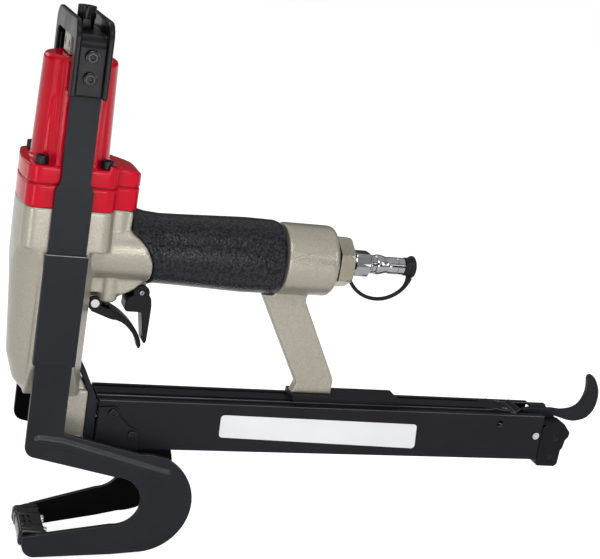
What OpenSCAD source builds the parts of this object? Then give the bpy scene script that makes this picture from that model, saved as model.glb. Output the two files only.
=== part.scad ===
// Pneumatic plier stapler that closes cartons: a driver in the body shoots the staple down,
// and a clinch cylinder on top lifts two C-shaped arms with an anvil to meet it.
// Frame: millimetres, +Z up along the driver, +X to the rear, origin at the staple exit.

/* [Nose] */
// Height of the nose below the casting
nose_h = 37.5; // [36:0.1:40]
// Half width of the nose plates
nose_half_w = 9.5; // [8.5:0.1:11]
// Front face of the nose, ahead of the driver
nose_front_x = 2.6; // [2.4:0.1:3.2]
// Half width of the driver channel (staple crown)
channel_half_w = 4.8; // [4.6:0.1:5.4]
// Half thickness of the driver channel
channel_half_t = 0.9; // [0.9:0.05:1.2]
// Rear face of the inner nose guide
guide_rear_x = 9; // [8:0.1:10]
// Top of the staple window through nose and foot
window_top = 24.3; // [23.5:0.1:26]
// Thickness of the rear nose plate
nose_plate_t = 5.8; // [4:0.1:6]

/* [Body casting] */
// Height of the casting from the nose to its top deck
casting_h = 110.5; // [108:0.1:113]
// Half width across the flat sides where the arms slide
side_half_w = 25; // [24:0.1:26]
// Radius of the round front at the top of the barrel
barrel_r_top = 25.6; // [25:0.1:26.5]
// Radius of the round front at the bottom of the barrel
barrel_r_low = 22.6; // [22:0.1:24]
// Height at which the barrel starts to taper in to the nose
barrel_low_z = 58; // [56:0.5:62]
// Rear face of the barrel
barrel_rear_x = 18; // [17:0.1:19]
// Height of the head block under the top deck
head_block_h = 23; // [20:0.5:26]
// Rear face of the magazine foot
foot_rear_x = 24.4; // [23:0.1:26]
// Half width of the magazine foot
foot_half_w = 13; // [12:0.1:14]
// Underside of the magazine foot
foot_low_z = 12; // [11.5:0.5:14]
// Top of the square part of the foot
foot_top_z = 40.6; // [39:0.1:41.5]

/* [Head] */
// Height of the red head base
ring_h = 12.7; // [12:0.1:14]
// Thickness of the head gasket
gasket_t = 0.5; // [0.4:0.1:1.5]
// Height of the cap's flange
flange_h = 9.6; // [8.5:0.1:10.5]
// Height of the cap's tube above its flange
cap_h = 57; // [56:0.5:60]
// Outer radius of the cap at its top
cap_r_top = 20; // [19.4:0.1:20.4]
// Outer radius of the cap at its flange
cap_r_low = 21.4; // [21:0.1:22]
// Half spacing of the head screws along X
head_screw_x = 17.6; // [17:0.1:18]
// Radius of the corner lobes that hold the head screws
lobe_r = 7; // [6.5:0.1:7]
// Reach of the bowed front of the head, ahead of the driver
head_front_x = 26.4; // [26:0.1:26.8]
// Rear end of the lobe over the handle
lobe_rear_x = 38.6; // [38:0.1:40]
// Half width of the lobe over the handle
lobe_half_w = 16; // [14:0.1:17]
// Radius of the clinch cylinder's bore
clinch_r = 16; // [15:0.1:16.5]
// Thickness of the cap's top wall
cap_wall = 7; // [6:0.1:9]
// Radius of the clinch piston's rod
rod_r = 5; // [4:0.1:6]

/* [Clinch yoke and arms] */
// Thickness of the arm plates
arm_t = 3; // [2.5:0.1:3]
// Half width of the narrow upper strap
strap_half_w = 8; // [7:0.1:8.4]
// Half width of the wide strap in its guide
strap_wide = 10.3; // [9.8:0.1:10.8]
// Height at which the strap becomes wide
strap_step_z = 159; // [157:0.5:161]
// Thickness of the yoke's sheet
yoke_t = 3; // [2.5:0.1:3.5]
// Half length of the yoke along X
yoke_half_x = 9.9; // [9.4:0.1:10.4]
// Height of the yoke's legs below its inner top
yoke_leg_h = 29; // [27:0.5:32]
// Rise of the yoke's flanges above its web
yoke_rise = 8; // [6:0.5:10]
// Flange depth beside the legs
yoke_side = 3.8; // [3:0.1:5]
// Height of the block on the rod's end
rod_end_h = 10.9; // [10:0.1:13]
// Radius of the outer bend of the hook
hook_out_r = 31; // [30:0.1:32]
// Radius of the inner bend of the hook
hook_in_r = 15.5; // [14.5:0.1:16]
// Turn of the lower arms in towards the anvil
arm_turn = 7.45; // [7:0.05:8]
// Front end of the anvil
anvil_front_x = -5; // [-6:0.1:-4]
// Rear end of the anvil
anvil_rear_x = 9; // [7:0.1:11]
// Top of the anvil with the arms down
anvil_top_z = -46.3; // [-47:0.1:-45]
// Height of the anvil
anvil_h = 9; // [7:0.1:10]
// Lower end of the guide channels
guide_low_z = 60.5; // [60:0.1:64]
// Length of the guide channels
guide_h = 63.5; // [55:0.5:64]
// Sheet thickness of the guide channels
guide_t = 0.9; // [0.8:0.1:1.6]

/* [Driver] */
// Bore radius of the driver cylinder
driver_r = 14; // [13:0.1:14.5]
// Wall of the driver cylinder
liner_t = 2.5; // [2:0.1:2.6]
// Underside of the driver piston at rest, below the casting's deck
piston_drop = 38; // [36:0.5:40]
// Height of the driver piston
piston_h = 16; // [14:0.1:16]
// Thickness of the driver blade
blade_t = 1.2; // [1:0.05:1.3]
// Lower end of the blade at rest
blade_tip_z = 45.5; // [44:0.1:47]
// Height of the rubber bumper
bumper_h = 16; // [12:0.5:16.5]
// Floor of the driver cylinder
cylinder_floor_z = 47; // [45:0.5:49]

/* [Handle and air inlet] */
// Handle's axis, below the casting's deck
handle_drop = 24; // [23.8:0.1:25]
// Radius of the handle core under the grip
core_r = 17; // [16:0.1:17.5]
// Radius of the grip at its neck
grip_r_neck = 20; // [19.5:0.1:20.5]
// Radius of the grip at its swell
grip_r_swell = 21.8; // [21:0.1:22]
// Front end of the grip
grip_front_x = 36.5; // [36:0.1:38]
// Rear end of the grip
grip_rear_x = 127.8; // [126:0.1:130]
// Radius of the bare handle end
end_r = 20.9; // [20:0.1:21.2]
// Rear end of the handle
end_x = 160.2; // [158:0.1:163]
// Bore of the hollow handle
air_r = 10; // [9:0.1:11]
// Width across flats of the inlet cap
inlet_af = 27; // [26:0.5:28]
// Thickness of the inlet cap's hexagon
inlet_t = 9; // [8:0.1:10]
// Width across flats of the plug's hexagon
plug_af = 14; // [13:0.5:15]
// Radius of the plug's tip
plug_tip_r = 5; // [4.6:0.1:5.2]
// Length of the plug behind the inlet cap
plug_l = 39; // [37:0.5:41]
// Radius of the tether's loop
tether_r = 21.5; // [21:0.1:22]
// Thickness radius of the tether
tether_t = 1.3; // [1:0.05:1.5]

/* [Trigger] */
// Trigger pin, distance behind the driver
trigger_x = 22.3; // [22.2:0.1:22.6]
// Trigger pin, below the handle's axis
trigger_drop = 32.2; // [31.6:0.1:32.6]
// Radius of the trigger pin
trigger_pin_r = 2.4; // [2:0.1:2.5]
// Half width of the trigger
trigger_half_w = 9; // [8:0.1:10]
// Valve axis, distance behind the driver
valve_x = 29; // [28.9:0.1:29.6]
// Radius of the valve housing
valve_housing_r = 6; // [5.6:0.1:6.2]
// Radius of the valve stem
stem_r = 2.2; // [2:0.05:2.4]
// Lock lever pin, distance behind the driver
lock_x = 48.9; // [48.5:0.1:49.5]
// Lock lever pin, below the handle's axis
lock_drop = 25.5; // [25.2:0.1:26]
// Radius of the lock lever's pin
lock_pin_r = 1.6; // [1.2:0.1:1.8]

/* [Magazine] */
// Front end of the magazine box
box_front_x = 31; // [30.8:0.1:32]
// Rear end of the magazine box
box_rear_x = 318.5; // [316:0.5:320]
// Half width of the magazine box
box_half_w = 14; // [13.5:0.1:14.5]
// Underside of the magazine box
box_low_z = 6; // [5.5:0.1:6.5]
// Wall of the magazine box
box_t = 1.6; // [1.2:0.1:1.8]
// Underside of the fixed rail
rail_z = 31.3; // [31:0.1:31.8]
// Thickness of the rail's flange under the box lips
rail_flange_t = 2.8; // [2.4:0.1:3]
// Height of the rail's raised middle
rail_h = 5.8; // [5.4:0.1:6.4]
// Half width of the rail's raised middle
rail_half_w = 8.6; // [8:0.1:9]
// Rear end of the rail, inside the box
rail_in = 22.5; // [20:0.5:25]
// Height of the bracket between rail and strut
bracket_h = 4; // [3:0.1:5]
// Rear end of that bracket
bracket_rear_x = 221; // [215:1:226]
// Half width of the staple core
core_half_w = 3.5; // [3:0.1:3.8]
// Top of the staple core
core_top_z = 21; // [20:0.1:21.3]
// Length of the pusher
pusher_l = 14; // [12:0.5:18]
// Height of the pusher rod
pusher_rod_z = 23.6; // [23.5:0.1:24]
// Latch pin, inside the end of the box
latch_in = 4; // [3.5:0.1:4.5]
// Latch pin height
latch_z = 22.5; // [22:0.1:23]
// Radius of the latch pin
latch_pin_r = 2.3; // [2:0.1:2.5]
// Half thickness of the latch lever
latch_half_t = 2; // [1.6:0.1:2.2]

/* [Clearances] */
// Radial clearance of running fits
run_fit = 0.05; // [0.02:0.01:0.08]
// Clearance round screws and seals
screw_gap = 0.2; // [0.15:0.05:0.3]
// Clearance between sliding plates
slide_gap = 0.4; // [0.3:0.05:0.5]

/* [Hidden] */
$fn = 64;

red = [0.72, 0.03, 0.06];
beige = [0.66, 0.63, 0.54];
black = [0.09, 0.09, 0.1];
charcoal = [0.14, 0.145, 0.16];
rubber = [0.06, 0.06, 0.065];
steel = [0.72, 0.72, 0.74];
bronze = [0.55, 0.5, 0.36];

// Heights up the driver's axis
deck_z = nose_h + casting_h;
head_block_z = deck_z - head_block_h;
handle_z = deck_z - handle_drop;
piston_z = deck_z - piston_drop;
trigger_z = handle_z - trigger_drop;
lock_z = handle_z - lock_drop;
ring_top = deck_z + ring_h;
flange_z = ring_top + gasket_t;
flange_top = flange_z + flange_h;
cap_top = flange_top + cap_h;
cap_ceiling = cap_top - cap_wall;
rod_end_z = cap_top + slide_gap;
yoke_in_z = rod_end_z + rod_end_h;
yoke_web_top = yoke_in_z + yoke_t;
yoke_top = yoke_web_top + yoke_rise;
yoke_low_z = yoke_in_z - yoke_leg_h;

// Head screws
head_screw_y = side_half_w - lobe_r;
head_screw_r = 2;
head_screw_head_r = 3.6;
head_screw_head_h = 4.5;
head_screw_deep = 11;
flute_r = head_screw_head_r + 1.4;
flute_h = 36;
pad_half_x = 11;
pad_half_w = 22.8;
bow_r = 90;
bow_half_w = head_screw_y + 1.3;
gasket_in = 0.6;

// Arms: inner and outer faces of the plates
arm_in = side_half_w + slide_gap;
arm_out = arm_in + arm_t;
arm_top_z = yoke_in_z - 4.2;
strap_neck_z = strap_step_z + 5;
hook_x = 59;
hook_z = -22;
mouth_x = 44;
mouth_z = -21.3;
arm_bend_x = mouth_x + hook_in_r - 0.5;
arm_bend_z = mouth_z - 2;
arm_front_r = 6.4;
arm_low_z = 5.3;
upper_slope = 15.2;
upper_edge_z = 20.1;
lower_tip_x = -4.3;
lower_tip_r = 7;
lower_tip_z = -53.4;
bead_h = 0.9;
bead_w = 5;
yoke_screw_z = [yoke_low_z + 9.8, yoke_low_z + 21.2];
yoke_screw_r = 2.5;
yoke_screw_head_r = 3.6;
yoke_screw_head_h = 2.6;
yoke_corner = 7;
yoke_flange_t = yoke_half_x - strap_half_w + 1;

// Clinch cylinder
piston_low_z = flange_z + 2;
clinch_piston_h = 12;
piston_floor = 4;
piston_skirt_r = 12.8;
seal_h = 3;
seal_t = 2.3;
bush_r = rod_r + 3;
spring_wire_r = 1.2;
spring_r = 10.6;
adjust_r = 3;
adjust_head_r = 5;
adjust_head_h = 6.5;
nut_h = 5.5;
rod_end_half_x = 8.5;
rod_end_half_w = 10;

// Driver
liner_r = driver_r + liner_t;
liner_top = piston_z + piston_h + 0.8;
spigot_r = liner_r - 0.05;
blade_half_w = channel_half_w - 0.3;
blade_seat = 6;
casting_bore_r = liner_r + run_fit;

// Nose window that passes the core and the staples
window_half_w = core_half_w + 1.7;
window_low = 4;
nose_top = nose_h - 0.1;
nose_screw_y = channel_half_w + 2.6;
nose_screw_z = [9, 27.5];
nose_screw_r = 1.1;
nose_screw_head_r = 2;
nose_screw_head_h = 2;
nose_seat_x = nose_screw_head_h - nose_front_x;
nose_bevel = 3.6;
nose_plate_x = foot_rear_x + 0.1;
nose_plate_rear = nose_plate_x + nose_plate_t;
ear_top_z = 53;
ear_t = 3.2;

// Handle and inlet
end_front_x = grip_rear_x + 0.5;
bevel_half_w = side_half_w + 2;
bevel_side_x = barrel_rear_x - 7.3;
bevel_rear_x = barrel_rear_x + 1.2;
bevel_rear_w = side_half_w - 13.1;
neck_x = 22;
neck_z = handle_z - 12;
ridge_top_z = handle_z - 6;
ridge_low_z = handle_z - 25.5;
neck_r = 29;
neck_body_r = 19.6;
end_round = 3;
seal_x = end_x + 1.5;
hex_x = seal_x + 0.9;
inlet_rear_x = hex_x + inlet_t;
spigot_l = 10;
plug_thread_r = 5.4;
ring_x = inlet_rear_x + 0.2;
tether_ring_t = 2.4;
plug_hex_x = ring_x + tether_ring_t + 0.2;
plug_hex_l = 10.5;
plug_end_x = inlet_rear_x + plug_l;
plug_neck_r = 4.4;
plug_bump_r = 6;
plug_bore_r = 3;
plug_end_r = plug_tip_r - 0.4;
cap_cover = 4.5;
cap_x = plug_end_x - cap_cover;
cap_socket_gap = 0.4;
cap_tube_r = plug_end_r + 2.1;
cap_disc_r = 8;
tether_x = plug_end_x - 16.9;
cap_hinge_x = plug_end_x - cap_cover / 2;
cap_hinge_dx = cap_hinge_x - tether_x;
cap_hinge_a = acos(cap_hinge_dx / tether_r);
cap_hinge_z = handle_z - tether_r * sin(cap_hinge_a);
hinge_gap_a = 2.5 / tether_r * 180 / PI;

// Strut between the handle's end and the magazine
strut_half_w = 3.6;
strut_top_z = handle_z - grip_r_swell - 0.5;
strut_foot_front = 148.9;
strut_foot_rear = 174.3;
strut_kink_z = 47.2;

// Trigger and lock lever
trigger_boss_r = 3.9;
lever_half_w = 3;
lug_half_w = 6.4;
cheek_gap = 0.4;
stem_low_z = trigger_z - 5.5;
valve_low_z = trigger_z + 0.8;
valve_body_r = 3.6;
valve_body_h = 13;
valve_top_z = handle_z - 11;
stem_head_z = valve_low_z + valve_body_h + 0.6;
stem_head_h = 1.4;
stem_head_r = 3.2;
valve_wire_r = 0.35;
lock_half_w = 4.8;
lock_lug_half_w = 2.4;
lock_lug_r = 3.4;
lock_boss_r = 4.6;

// Magazine
latch_x = box_rear_x - latch_in;
rail_rear_x = box_rear_x - rail_in;
rail_top = rail_z + rail_h;
rail_flange_top = rail_z + rail_flange_t;
rail_flange_half_w = box_half_w - box_t - slide_gap;
lip_z = rail_flange_top + slide_gap;
lip_t = 1.3;
lip_half_w = rail_half_w + slide_gap;
bracket_z = rail_top;
strut_low_z = rail_top + bracket_h;
strut_screw_x = [strut_foot_front + 6, strut_foot_rear - 6];
strut_screw_r = 2;
strut_screw_head_r = 3.4;
strut_screw_head_h = 2.6;
strut_screw_deep = 8;
floor_top = box_low_z + box_t;
core_front_x = channel_half_t + 0.7;
tongue_x = box_rear_x - 12.5;
tongue_half_w = box_half_w - box_t - 0.1;
slot_half_w = latch_half_t + slide_gap;
block_half_w = box_half_w + 0.4;
wing_t = 1.8;
wing_screw_at = [[box_front_x + 8.3, 29], [box_front_x + 21, 15.8]];
wing_screw_r = 1.3;
wing_screw_head_r = 2.6;
wing_screw_head_h = 1.6;
pusher_x = box_front_x + 3;
pusher_half_w = 7;
pusher_top = 27;
pusher_rod_r = 1.2;
pusher_spring_r = 1.85;
pusher_wire_r = 0.4;

module x_cyl(r, x0, x1, z = handle_z, y = 0) {
    translate([x0, y, z]) rotate([0, 90, 0]) cylinder(r = r, h = x1 - x0);
}

module y_cyl(r, x, z, y0, y1) {
    translate([x, y1, z]) rotate([90, 0, 0]) cylinder(r = r, h = y1 - y0);
}

module z_cyl(r, x, y, z0, z1) {
    translate([x, y, z0]) cylinder(r = r, h = z1 - z0);
}

// A side profile drawn in X and Z, as thick as y0 to y1
module side_plate(y0, y1) {
    translate([0, y1, 0]) rotate([90, 0, 0]) linear_extrude(y1 - y0) children();
}

// A front profile drawn in Y and Z, from x0 to x1
module front_plate(x0, x1) {
    translate([x0, 0, 0]) rotate([90, 0, 90]) linear_extrude(x1 - x0) children();
}

module box_between(x0, x1, half_w, z0, z1) {
    translate([x0, -half_w, z0]) cube([x1 - x0, 2 * half_w, z1 - z0]);
}

module round_rect(x0, x1, y0, y1, r) {
    translate([x0 + r, y0]) square([x1 - x0 - 2 * r, y1 - y0]);
    translate([x0, y0 + r]) square([x1 - x0, y1 - y0 - 2 * r]);
    for (x = [x0 + r, x1 - r], y = [y0 + r, y1 - r]) {
        translate([x, y]) circle(r = r);
    }
}

module at_corners(x, y) {
    for (sx = [-1, 1], sy = [-1, 1]) {
        translate([sx * x, sy * y, 0]) children();
    }
}

// Socket-head screw along -Z, with its head's seat at z = 0
module socket_screw(r, l, head_r, head_h) {
    difference() {
        union() {
            translate([0, 0, -l]) cylinder(r = r, h = l);
            cylinder(r = head_r, h = head_h);
        }
        translate([0, 0, head_h * 0.4]) cylinder(r = head_r * 0.52, h = head_h, $fn = 6);
    }
}

// Points of a helix swept by a small hexagon, along +Z from the origin
module coil(r, wire_r, h, turns, steps = 10, sides = 6) {
    n = turns * steps;
    rise = h - 2 * wire_r;
    function ring_point(i, j) = let (a = 360 * i / steps, b = 360 * j / sides, d = r + wire_r * cos(b))
        [d * cos(a), d * sin(a), wire_r + rise * i / n + wire_r * sin(b)];
    points = [for (i = [0 : n], j = [0 : sides - 1]) ring_point(i, j)];
    walls = [for (i = [0 : n - 1], j = [0 : sides - 1]) let (k = (j + 1) % sides)
        each [[i * sides + j, (i + 1) * sides + j, i * sides + k],
              [i * sides + k, (i + 1) * sides + j, (i + 1) * sides + k]]];
    ends = [[for (j = [0 : sides - 1]) j], [for (j = [sides - 1 : -1 : 0]) n * sides + j]];
    echo(coil_gap = rise / turns - 2 * wire_r);
    polyhedron(points = points, faces = concat(walls, ends));
}

// Plan of the head: four screw lobes, a bowed front and a lobe over the handle
module head_plan(rear_x = lobe_rear_x, inset = 0) {
    half_x = head_screw_x + lobe_r - inset;
    half_w = side_half_w - inset;
    lobe_w = lobe_half_w - inset;
    round_rect(-half_x, half_x, -half_w, half_w, lobe_r - inset);
    intersection() {
        translate([bow_r - head_front_x, 0]) circle(r = bow_r - inset, $fn = 256);
        translate([-head_front_x, -bow_half_w]) square([head_front_x, 2 * bow_half_w]);
    }
    round_rect(0, rear_x - inset, -lobe_w, lobe_w, lobe_r - inset);
}

// The barrel: a round, tapering front that fills out to the head's corners, with flat sides
module barrel() {
    corner_r = head_front_x + lobe_r;
    intersection() {
        union() {
            intersection() {
                rotate_extrude() polygon([[0, nose_h], [12.5, nose_h], [14.5, nose_h + 1.2],
                    [18, nose_h + 5.5],
                    [barrel_r_low - 1.2, barrel_low_z - 4], [barrel_r_low, barrel_low_z],
                    [barrel_r_top, head_block_z - 21], [barrel_r_top + 1.2, head_block_z - 11],
                    [barrel_r_top + 3.4, head_block_z - 3], [corner_r, head_block_z + 5],
                    [corner_r, deck_z - 1],
                    [0, deck_z - 1]]);
                translate([0, 0, nose_h - 1]) linear_extrude(deck_z - nose_h)
                    head_plan(barrel_rear_x, 0.1);
            }
            translate([0, 0, nose_h]) linear_extrude(deck_z - nose_h - 1)
                round_rect(-strap_wide - 2.6, barrel_rear_x, -side_half_w, side_half_w, 2.5);
        }
                translate([0, 0, nose_h - 1]) linear_extrude(casting_h + 2) polygon([
            [-2 * head_front_x, -bevel_half_w], [bevel_side_x, -bevel_half_w],
            [bevel_rear_x, -bevel_rear_w],
            [bevel_rear_x, bevel_rear_w], [bevel_side_x, bevel_half_w], [-2 * head_front_x, bevel_half_w]]);
        front_plate(-head_front_x - 1, barrel_rear_x) polygon([[-side_half_w, deck_z],
            [-side_half_w, barrel_low_z], [-15, nose_h + 3], [-13, nose_h], [13, nose_h], [15, nose_h + 3],
            [side_half_w, barrel_low_z], [side_half_w, deck_z]]);
        side_plate(-side_half_w, side_half_w) polygon([[-head_front_x, deck_z],
            [-head_front_x, barrel_low_z - 4], [-18, nose_h + 5.5], [-14.5, nose_h + 1.2], [-12, nose_h],
            [barrel_rear_x, nose_h],
            [barrel_rear_x, deck_z]]);
    }
}

// Neck that blends the barrel into the handle, with the ridge above the valve
module neck() {
    intersection() {
        x_cyl(neck_body_r, 0, neck_x + neck_r);
        y_cyl(neck_r - slide_gap, neck_x, neck_z, -side_half_w, side_half_w);
    }
    box_between(0, grip_front_x - 0.4, lobe_half_w - 1, neck_z, deck_z - 1);
    side_plate(-10, 10) polygon([[10, ridge_top_z], [48, ridge_top_z - 2], [48, ridge_low_z + 8],
        [43, ridge_low_z + 3], [38, ridge_low_z], [10, ridge_low_z]]);
    z_cyl(valve_housing_r, valve_x, 0, valve_low_z, ridge_top_z);
    z_cyl(valve_housing_r - 1, valve_x + 4.5, 0, valve_low_z + 4, ridge_top_z);
    side_plate(-lug_half_w, lug_half_w) {
        translate([trigger_x, trigger_z]) circle(r = trigger_boss_r + 0.5);
        translate([barrel_rear_x - 4, trigger_z - 4]) square([trigger_x - barrel_rear_x + 4, 8]);
    }
    side_plate(-lock_lug_half_w, lock_lug_half_w) {
        translate([lock_x, lock_z]) circle(r = lock_lug_r);
        translate([lock_x - lock_lug_r, lock_z]) square([lock_lug_r + 0.6, 9]);
    }
    translate([40, -lobe_half_w - 1.6, neck_z + 8]) rotate([0, -20, 0]) cube([5, 4, 7]);
}

module handle_core() {
    x_cyl(core_r, barrel_rear_x - 4, end_front_x + 1);
    translate([0, 0, handle_z]) rotate([0, 90, 0]) rotate_extrude() polygon([[0, end_front_x],
        [end_r, end_front_x], [end_r, end_x - end_round], [end_r - 0.9, end_x - 0.9],
        [end_r - end_round, end_x], [inlet_af / 2 + 0.8, end_x], [inlet_af / 2, seal_x], [0, seal_x]]);
    side_plate(-strut_half_w, strut_half_w) polygon([[121, strut_top_z], [end_front_x + 0.2, strut_top_z],
        [end_front_x + 0.2, handle_z], [149.3, handle_z], [149.3, handle_z - 21], [148.5, handle_z - 24],
        [149, handle_z - 25.8], [strut_foot_rear, strut_kink_z + 3.5], [strut_foot_rear, strut_low_z],
        [strut_foot_front, strut_low_z], [strut_foot_front + 2.2, strut_kink_z]]);
}

// Foot that carries the nose and the front of the magazine, with a narrower flare above it
module foot() {
    flare_x = foot_rear_x - 1;
    side_plate(-foot_half_w, foot_half_w) polygon([[guide_rear_x, foot_top_z], [guide_rear_x, foot_low_z],
        [foot_rear_x, foot_low_z], [foot_rear_x, foot_top_z - 0.8], [foot_rear_x - 0.8, foot_top_z]]);
    side_plate(-foot_half_w + 2, foot_half_w - 2) polygon([[guide_rear_x, foot_top_z - 2],
        [flare_x, foot_top_z - 2],
        [flare_x, foot_top_z + 0.5], [barrel_rear_x + 3, foot_top_z + 4.5],
        [barrel_rear_x + 1, foot_top_z + 9],
        [barrel_rear_x - 0.6, ear_top_z + 1], [guide_rear_x, ear_top_z + 1]]);
}

module head_screw_holes(z0, z1) {
    at_corners(head_screw_x, head_screw_y) z_cyl(head_screw_r + screw_gap, 0, 0, z0, z1);
}

module body_casting() {
    color(beige) difference() {
        union() {
            barrel();
            translate([0, 0, head_block_z]) linear_extrude(deck_z - head_block_z)
                head_plan(grip_front_x - 0.4);
            neck();
            handle_core();
            foot();
        }
        z_cyl(casting_bore_r, 0, 0, cylinder_floor_z, deck_z + 1);
        box_between(-channel_half_t, channel_half_t, channel_half_w, nose_h - 1, cylinder_floor_z + 1);
        head_screw_holes(deck_z - head_screw_deep - 1, deck_z + 1);
        box_between(guide_rear_x - 1, foot_rear_x + 1, window_half_w, foot_low_z - 1, window_top);
        for (s = [-1, 1]) {
            x_cyl(nose_screw_r + screw_gap, guide_rear_x - 1, guide_rear_x + 7, nose_screw_z[1],
                s * nose_screw_y);
        }
        x_cyl(air_r, barrel_rear_x + 16, seal_x + 1);
        z_cyl(valve_body_r + run_fit, valve_x, 0, valve_low_z - 1, valve_top_z);
        y_cyl(trigger_pin_r + run_fit, trigger_x, trigger_z, -lug_half_w - 1, lug_half_w + 1);
        y_cyl(lock_pin_r + run_fit, lock_x, lock_z, -lock_lug_half_w - 1, lock_lug_half_w + 1);
        for (x = strut_screw_x) {
            z_cyl(strut_screw_r + screw_gap, x, 0, strut_low_z - 1, strut_low_z + strut_screw_deep + 1);
        }
    }
}

module head_base() {
    color(red) difference() {
        union() {
            translate([0, 0, deck_z]) linear_extrude(ring_h) head_plan();
            z_cyl(spigot_r, 0, 0, liner_top + 0.2, deck_z);
        }
        head_screw_holes(deck_z - 1, ring_top + 1);
        z_cyl(rod_r, 0, 0, liner_top, ring_top + 1);
    }
}

module head_gasket() {
    color(black) difference() {
        translate([0, 0, ring_top]) linear_extrude(gasket_t) head_plan(inset = gasket_in);
        head_screw_holes(ring_top - 1, flange_z + 1);
        z_cyl(clinch_r, 0, 0, ring_top - 1, flange_z + 1);
    }
}

module head_cap() {
    color(red) difference() {
        union() {
            translate([0, 0, flange_z]) linear_extrude(flange_h) head_plan(lobe_rear_x - 12);
            intersection() {
                translate([0, 0, flange_z]) linear_extrude(flange_h + 3) head_plan();
                side_plate(-side_half_w, side_half_w) polygon([[18, flange_z], [lobe_rear_x, flange_z],
                    [lobe_rear_x, flange_top - 2.6], [lobe_rear_x - 2, flange_top - 1.6],
                    [18, flange_top + 3]]);
            }
            rotate_extrude() polygon([[0, flange_z], [cap_r_low + 1.5, flange_top - 1],
                [cap_r_low, flange_top + 2], [cap_r_top, cap_top - 2.4], [cap_r_top - 0.8, cap_top - 0.7],
                [cap_r_top - 2.4, cap_top], [0, cap_top]]);
            box_between(-pad_half_x, pad_half_x, pad_half_w, flange_top - 1, cap_top - 1.9);
        }
        z_cyl(clinch_r, 0, 0, flange_z - 1, cap_ceiling);
        z_cyl(bush_r + run_fit, 0, 0, cap_ceiling - 1, cap_top + 1);
        head_screw_holes(flange_z - 1, flange_top + 1);
        at_corners(head_screw_x, head_screw_y) z_cyl(flute_r, 0, 0, flange_top, flange_top + flute_h);
    }
}

module head_screws() {
    color(black) at_corners(head_screw_x, head_screw_y) translate([0, 0, flange_top])
        socket_screw(head_screw_r, flange_top - deck_z + head_screw_deep, head_screw_head_r,
            head_screw_head_h);
}

module rod_bush() {
    color(bronze) difference() {
        z_cyl(bush_r, 0, 0, cap_ceiling, cap_top);
        z_cyl(rod_r + run_fit, 0, 0, cap_ceiling - 1, cap_top + 1);
    }
}

module driver_cylinder() {
    color(steel) difference() {
        z_cyl(liner_r, 0, 0, cylinder_floor_z, liner_top);
        z_cyl(driver_r, 0, 0, cylinder_floor_z - 1, liner_top + 1);
        for (z = [cylinder_floor_z + 8, liner_top - 10]) {
            translate([0, 0, z]) difference() {
                cylinder(r = liner_r + 1, h = 2.4);
                translate([0, 0, -1]) cylinder(r = liner_r - 1.4, h = 5);
            }
        }
    }
}

module cylinder_seals() {
    color(rubber) for (z = [cylinder_floor_z + 8, liner_top - 10]) {
        translate([0, 0, z + 0.1]) difference() {
            cylinder(r = liner_r, h = 2.2);
            translate([0, 0, -1]) cylinder(r = liner_r - 1.4 + run_fit, h = 5);
        }
    }
}

module driver_bumper() {
    color(rubber) difference() {
        translate([0, 0, cylinder_floor_z]) rotate_extrude() polygon([[0, 0], [driver_r - 0.2, 0],
            [driver_r - 0.2, bumper_h * 0.55], [driver_r - 3.2, bumper_h], [0, bumper_h]]);
        box_between(-channel_half_t, channel_half_t, channel_half_w, cylinder_floor_z - 1,
            cylinder_floor_z + bumper_h + 1);
    }
}

module handle_grip() {
    color(rubber) difference() {
        translate([0, 0, handle_z]) rotate([0, 90, 0]) rotate_extrude() polygon([
            [core_r + run_fit, grip_front_x], [grip_r_neck + 3.4, grip_front_x],
            [grip_r_neck + 2, grip_front_x + 4],
            [grip_r_neck + 0.7, grip_front_x + 9],
            [grip_r_neck, grip_front_x + 18], [grip_r_neck + 0.3, grip_front_x + 30],
            [grip_r_swell - 0.4, grip_front_x + 58], [grip_r_swell, grip_rear_x - 22],
            [grip_r_swell - 0.2, grip_rear_x - 5],
            [grip_r_swell - 1.4, grip_rear_x - 1.4], [grip_r_swell - 3.2, grip_rear_x],
            [core_r + run_fit, grip_rear_x]]);
        y_cyl(neck_r, neck_x, neck_z, -grip_r_swell - 5, grip_r_swell + 5);
    }
}

module inlet_cap() {
    color(bronze) difference() {
        union() {
            intersection() {
                translate([hex_x, 0, handle_z]) rotate([0, 90, 0])
                    cylinder(r = inlet_af / sqrt(3), h = inlet_t, $fn = 6);
                translate([hex_x, 0, handle_z]) rotate([0, 90, 0])
                    cylinder(r1 = inlet_af * 0.6, r2 = inlet_af * 0.54, h = inlet_t);
            }
            x_cyl(air_r - screw_gap, seal_x - spigot_l, hex_x);
        }
        x_cyl(plug_thread_r + run_fit, seal_x - spigot_l - 1, inlet_rear_x + 1);
    }
}

module inlet_seal() {
    color(rubber) difference() {
        x_cyl(inlet_af / 2 - 0.3, seal_x, hex_x);
        x_cyl(air_r, seal_x - 1, hex_x + 1);
    }
}

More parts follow.
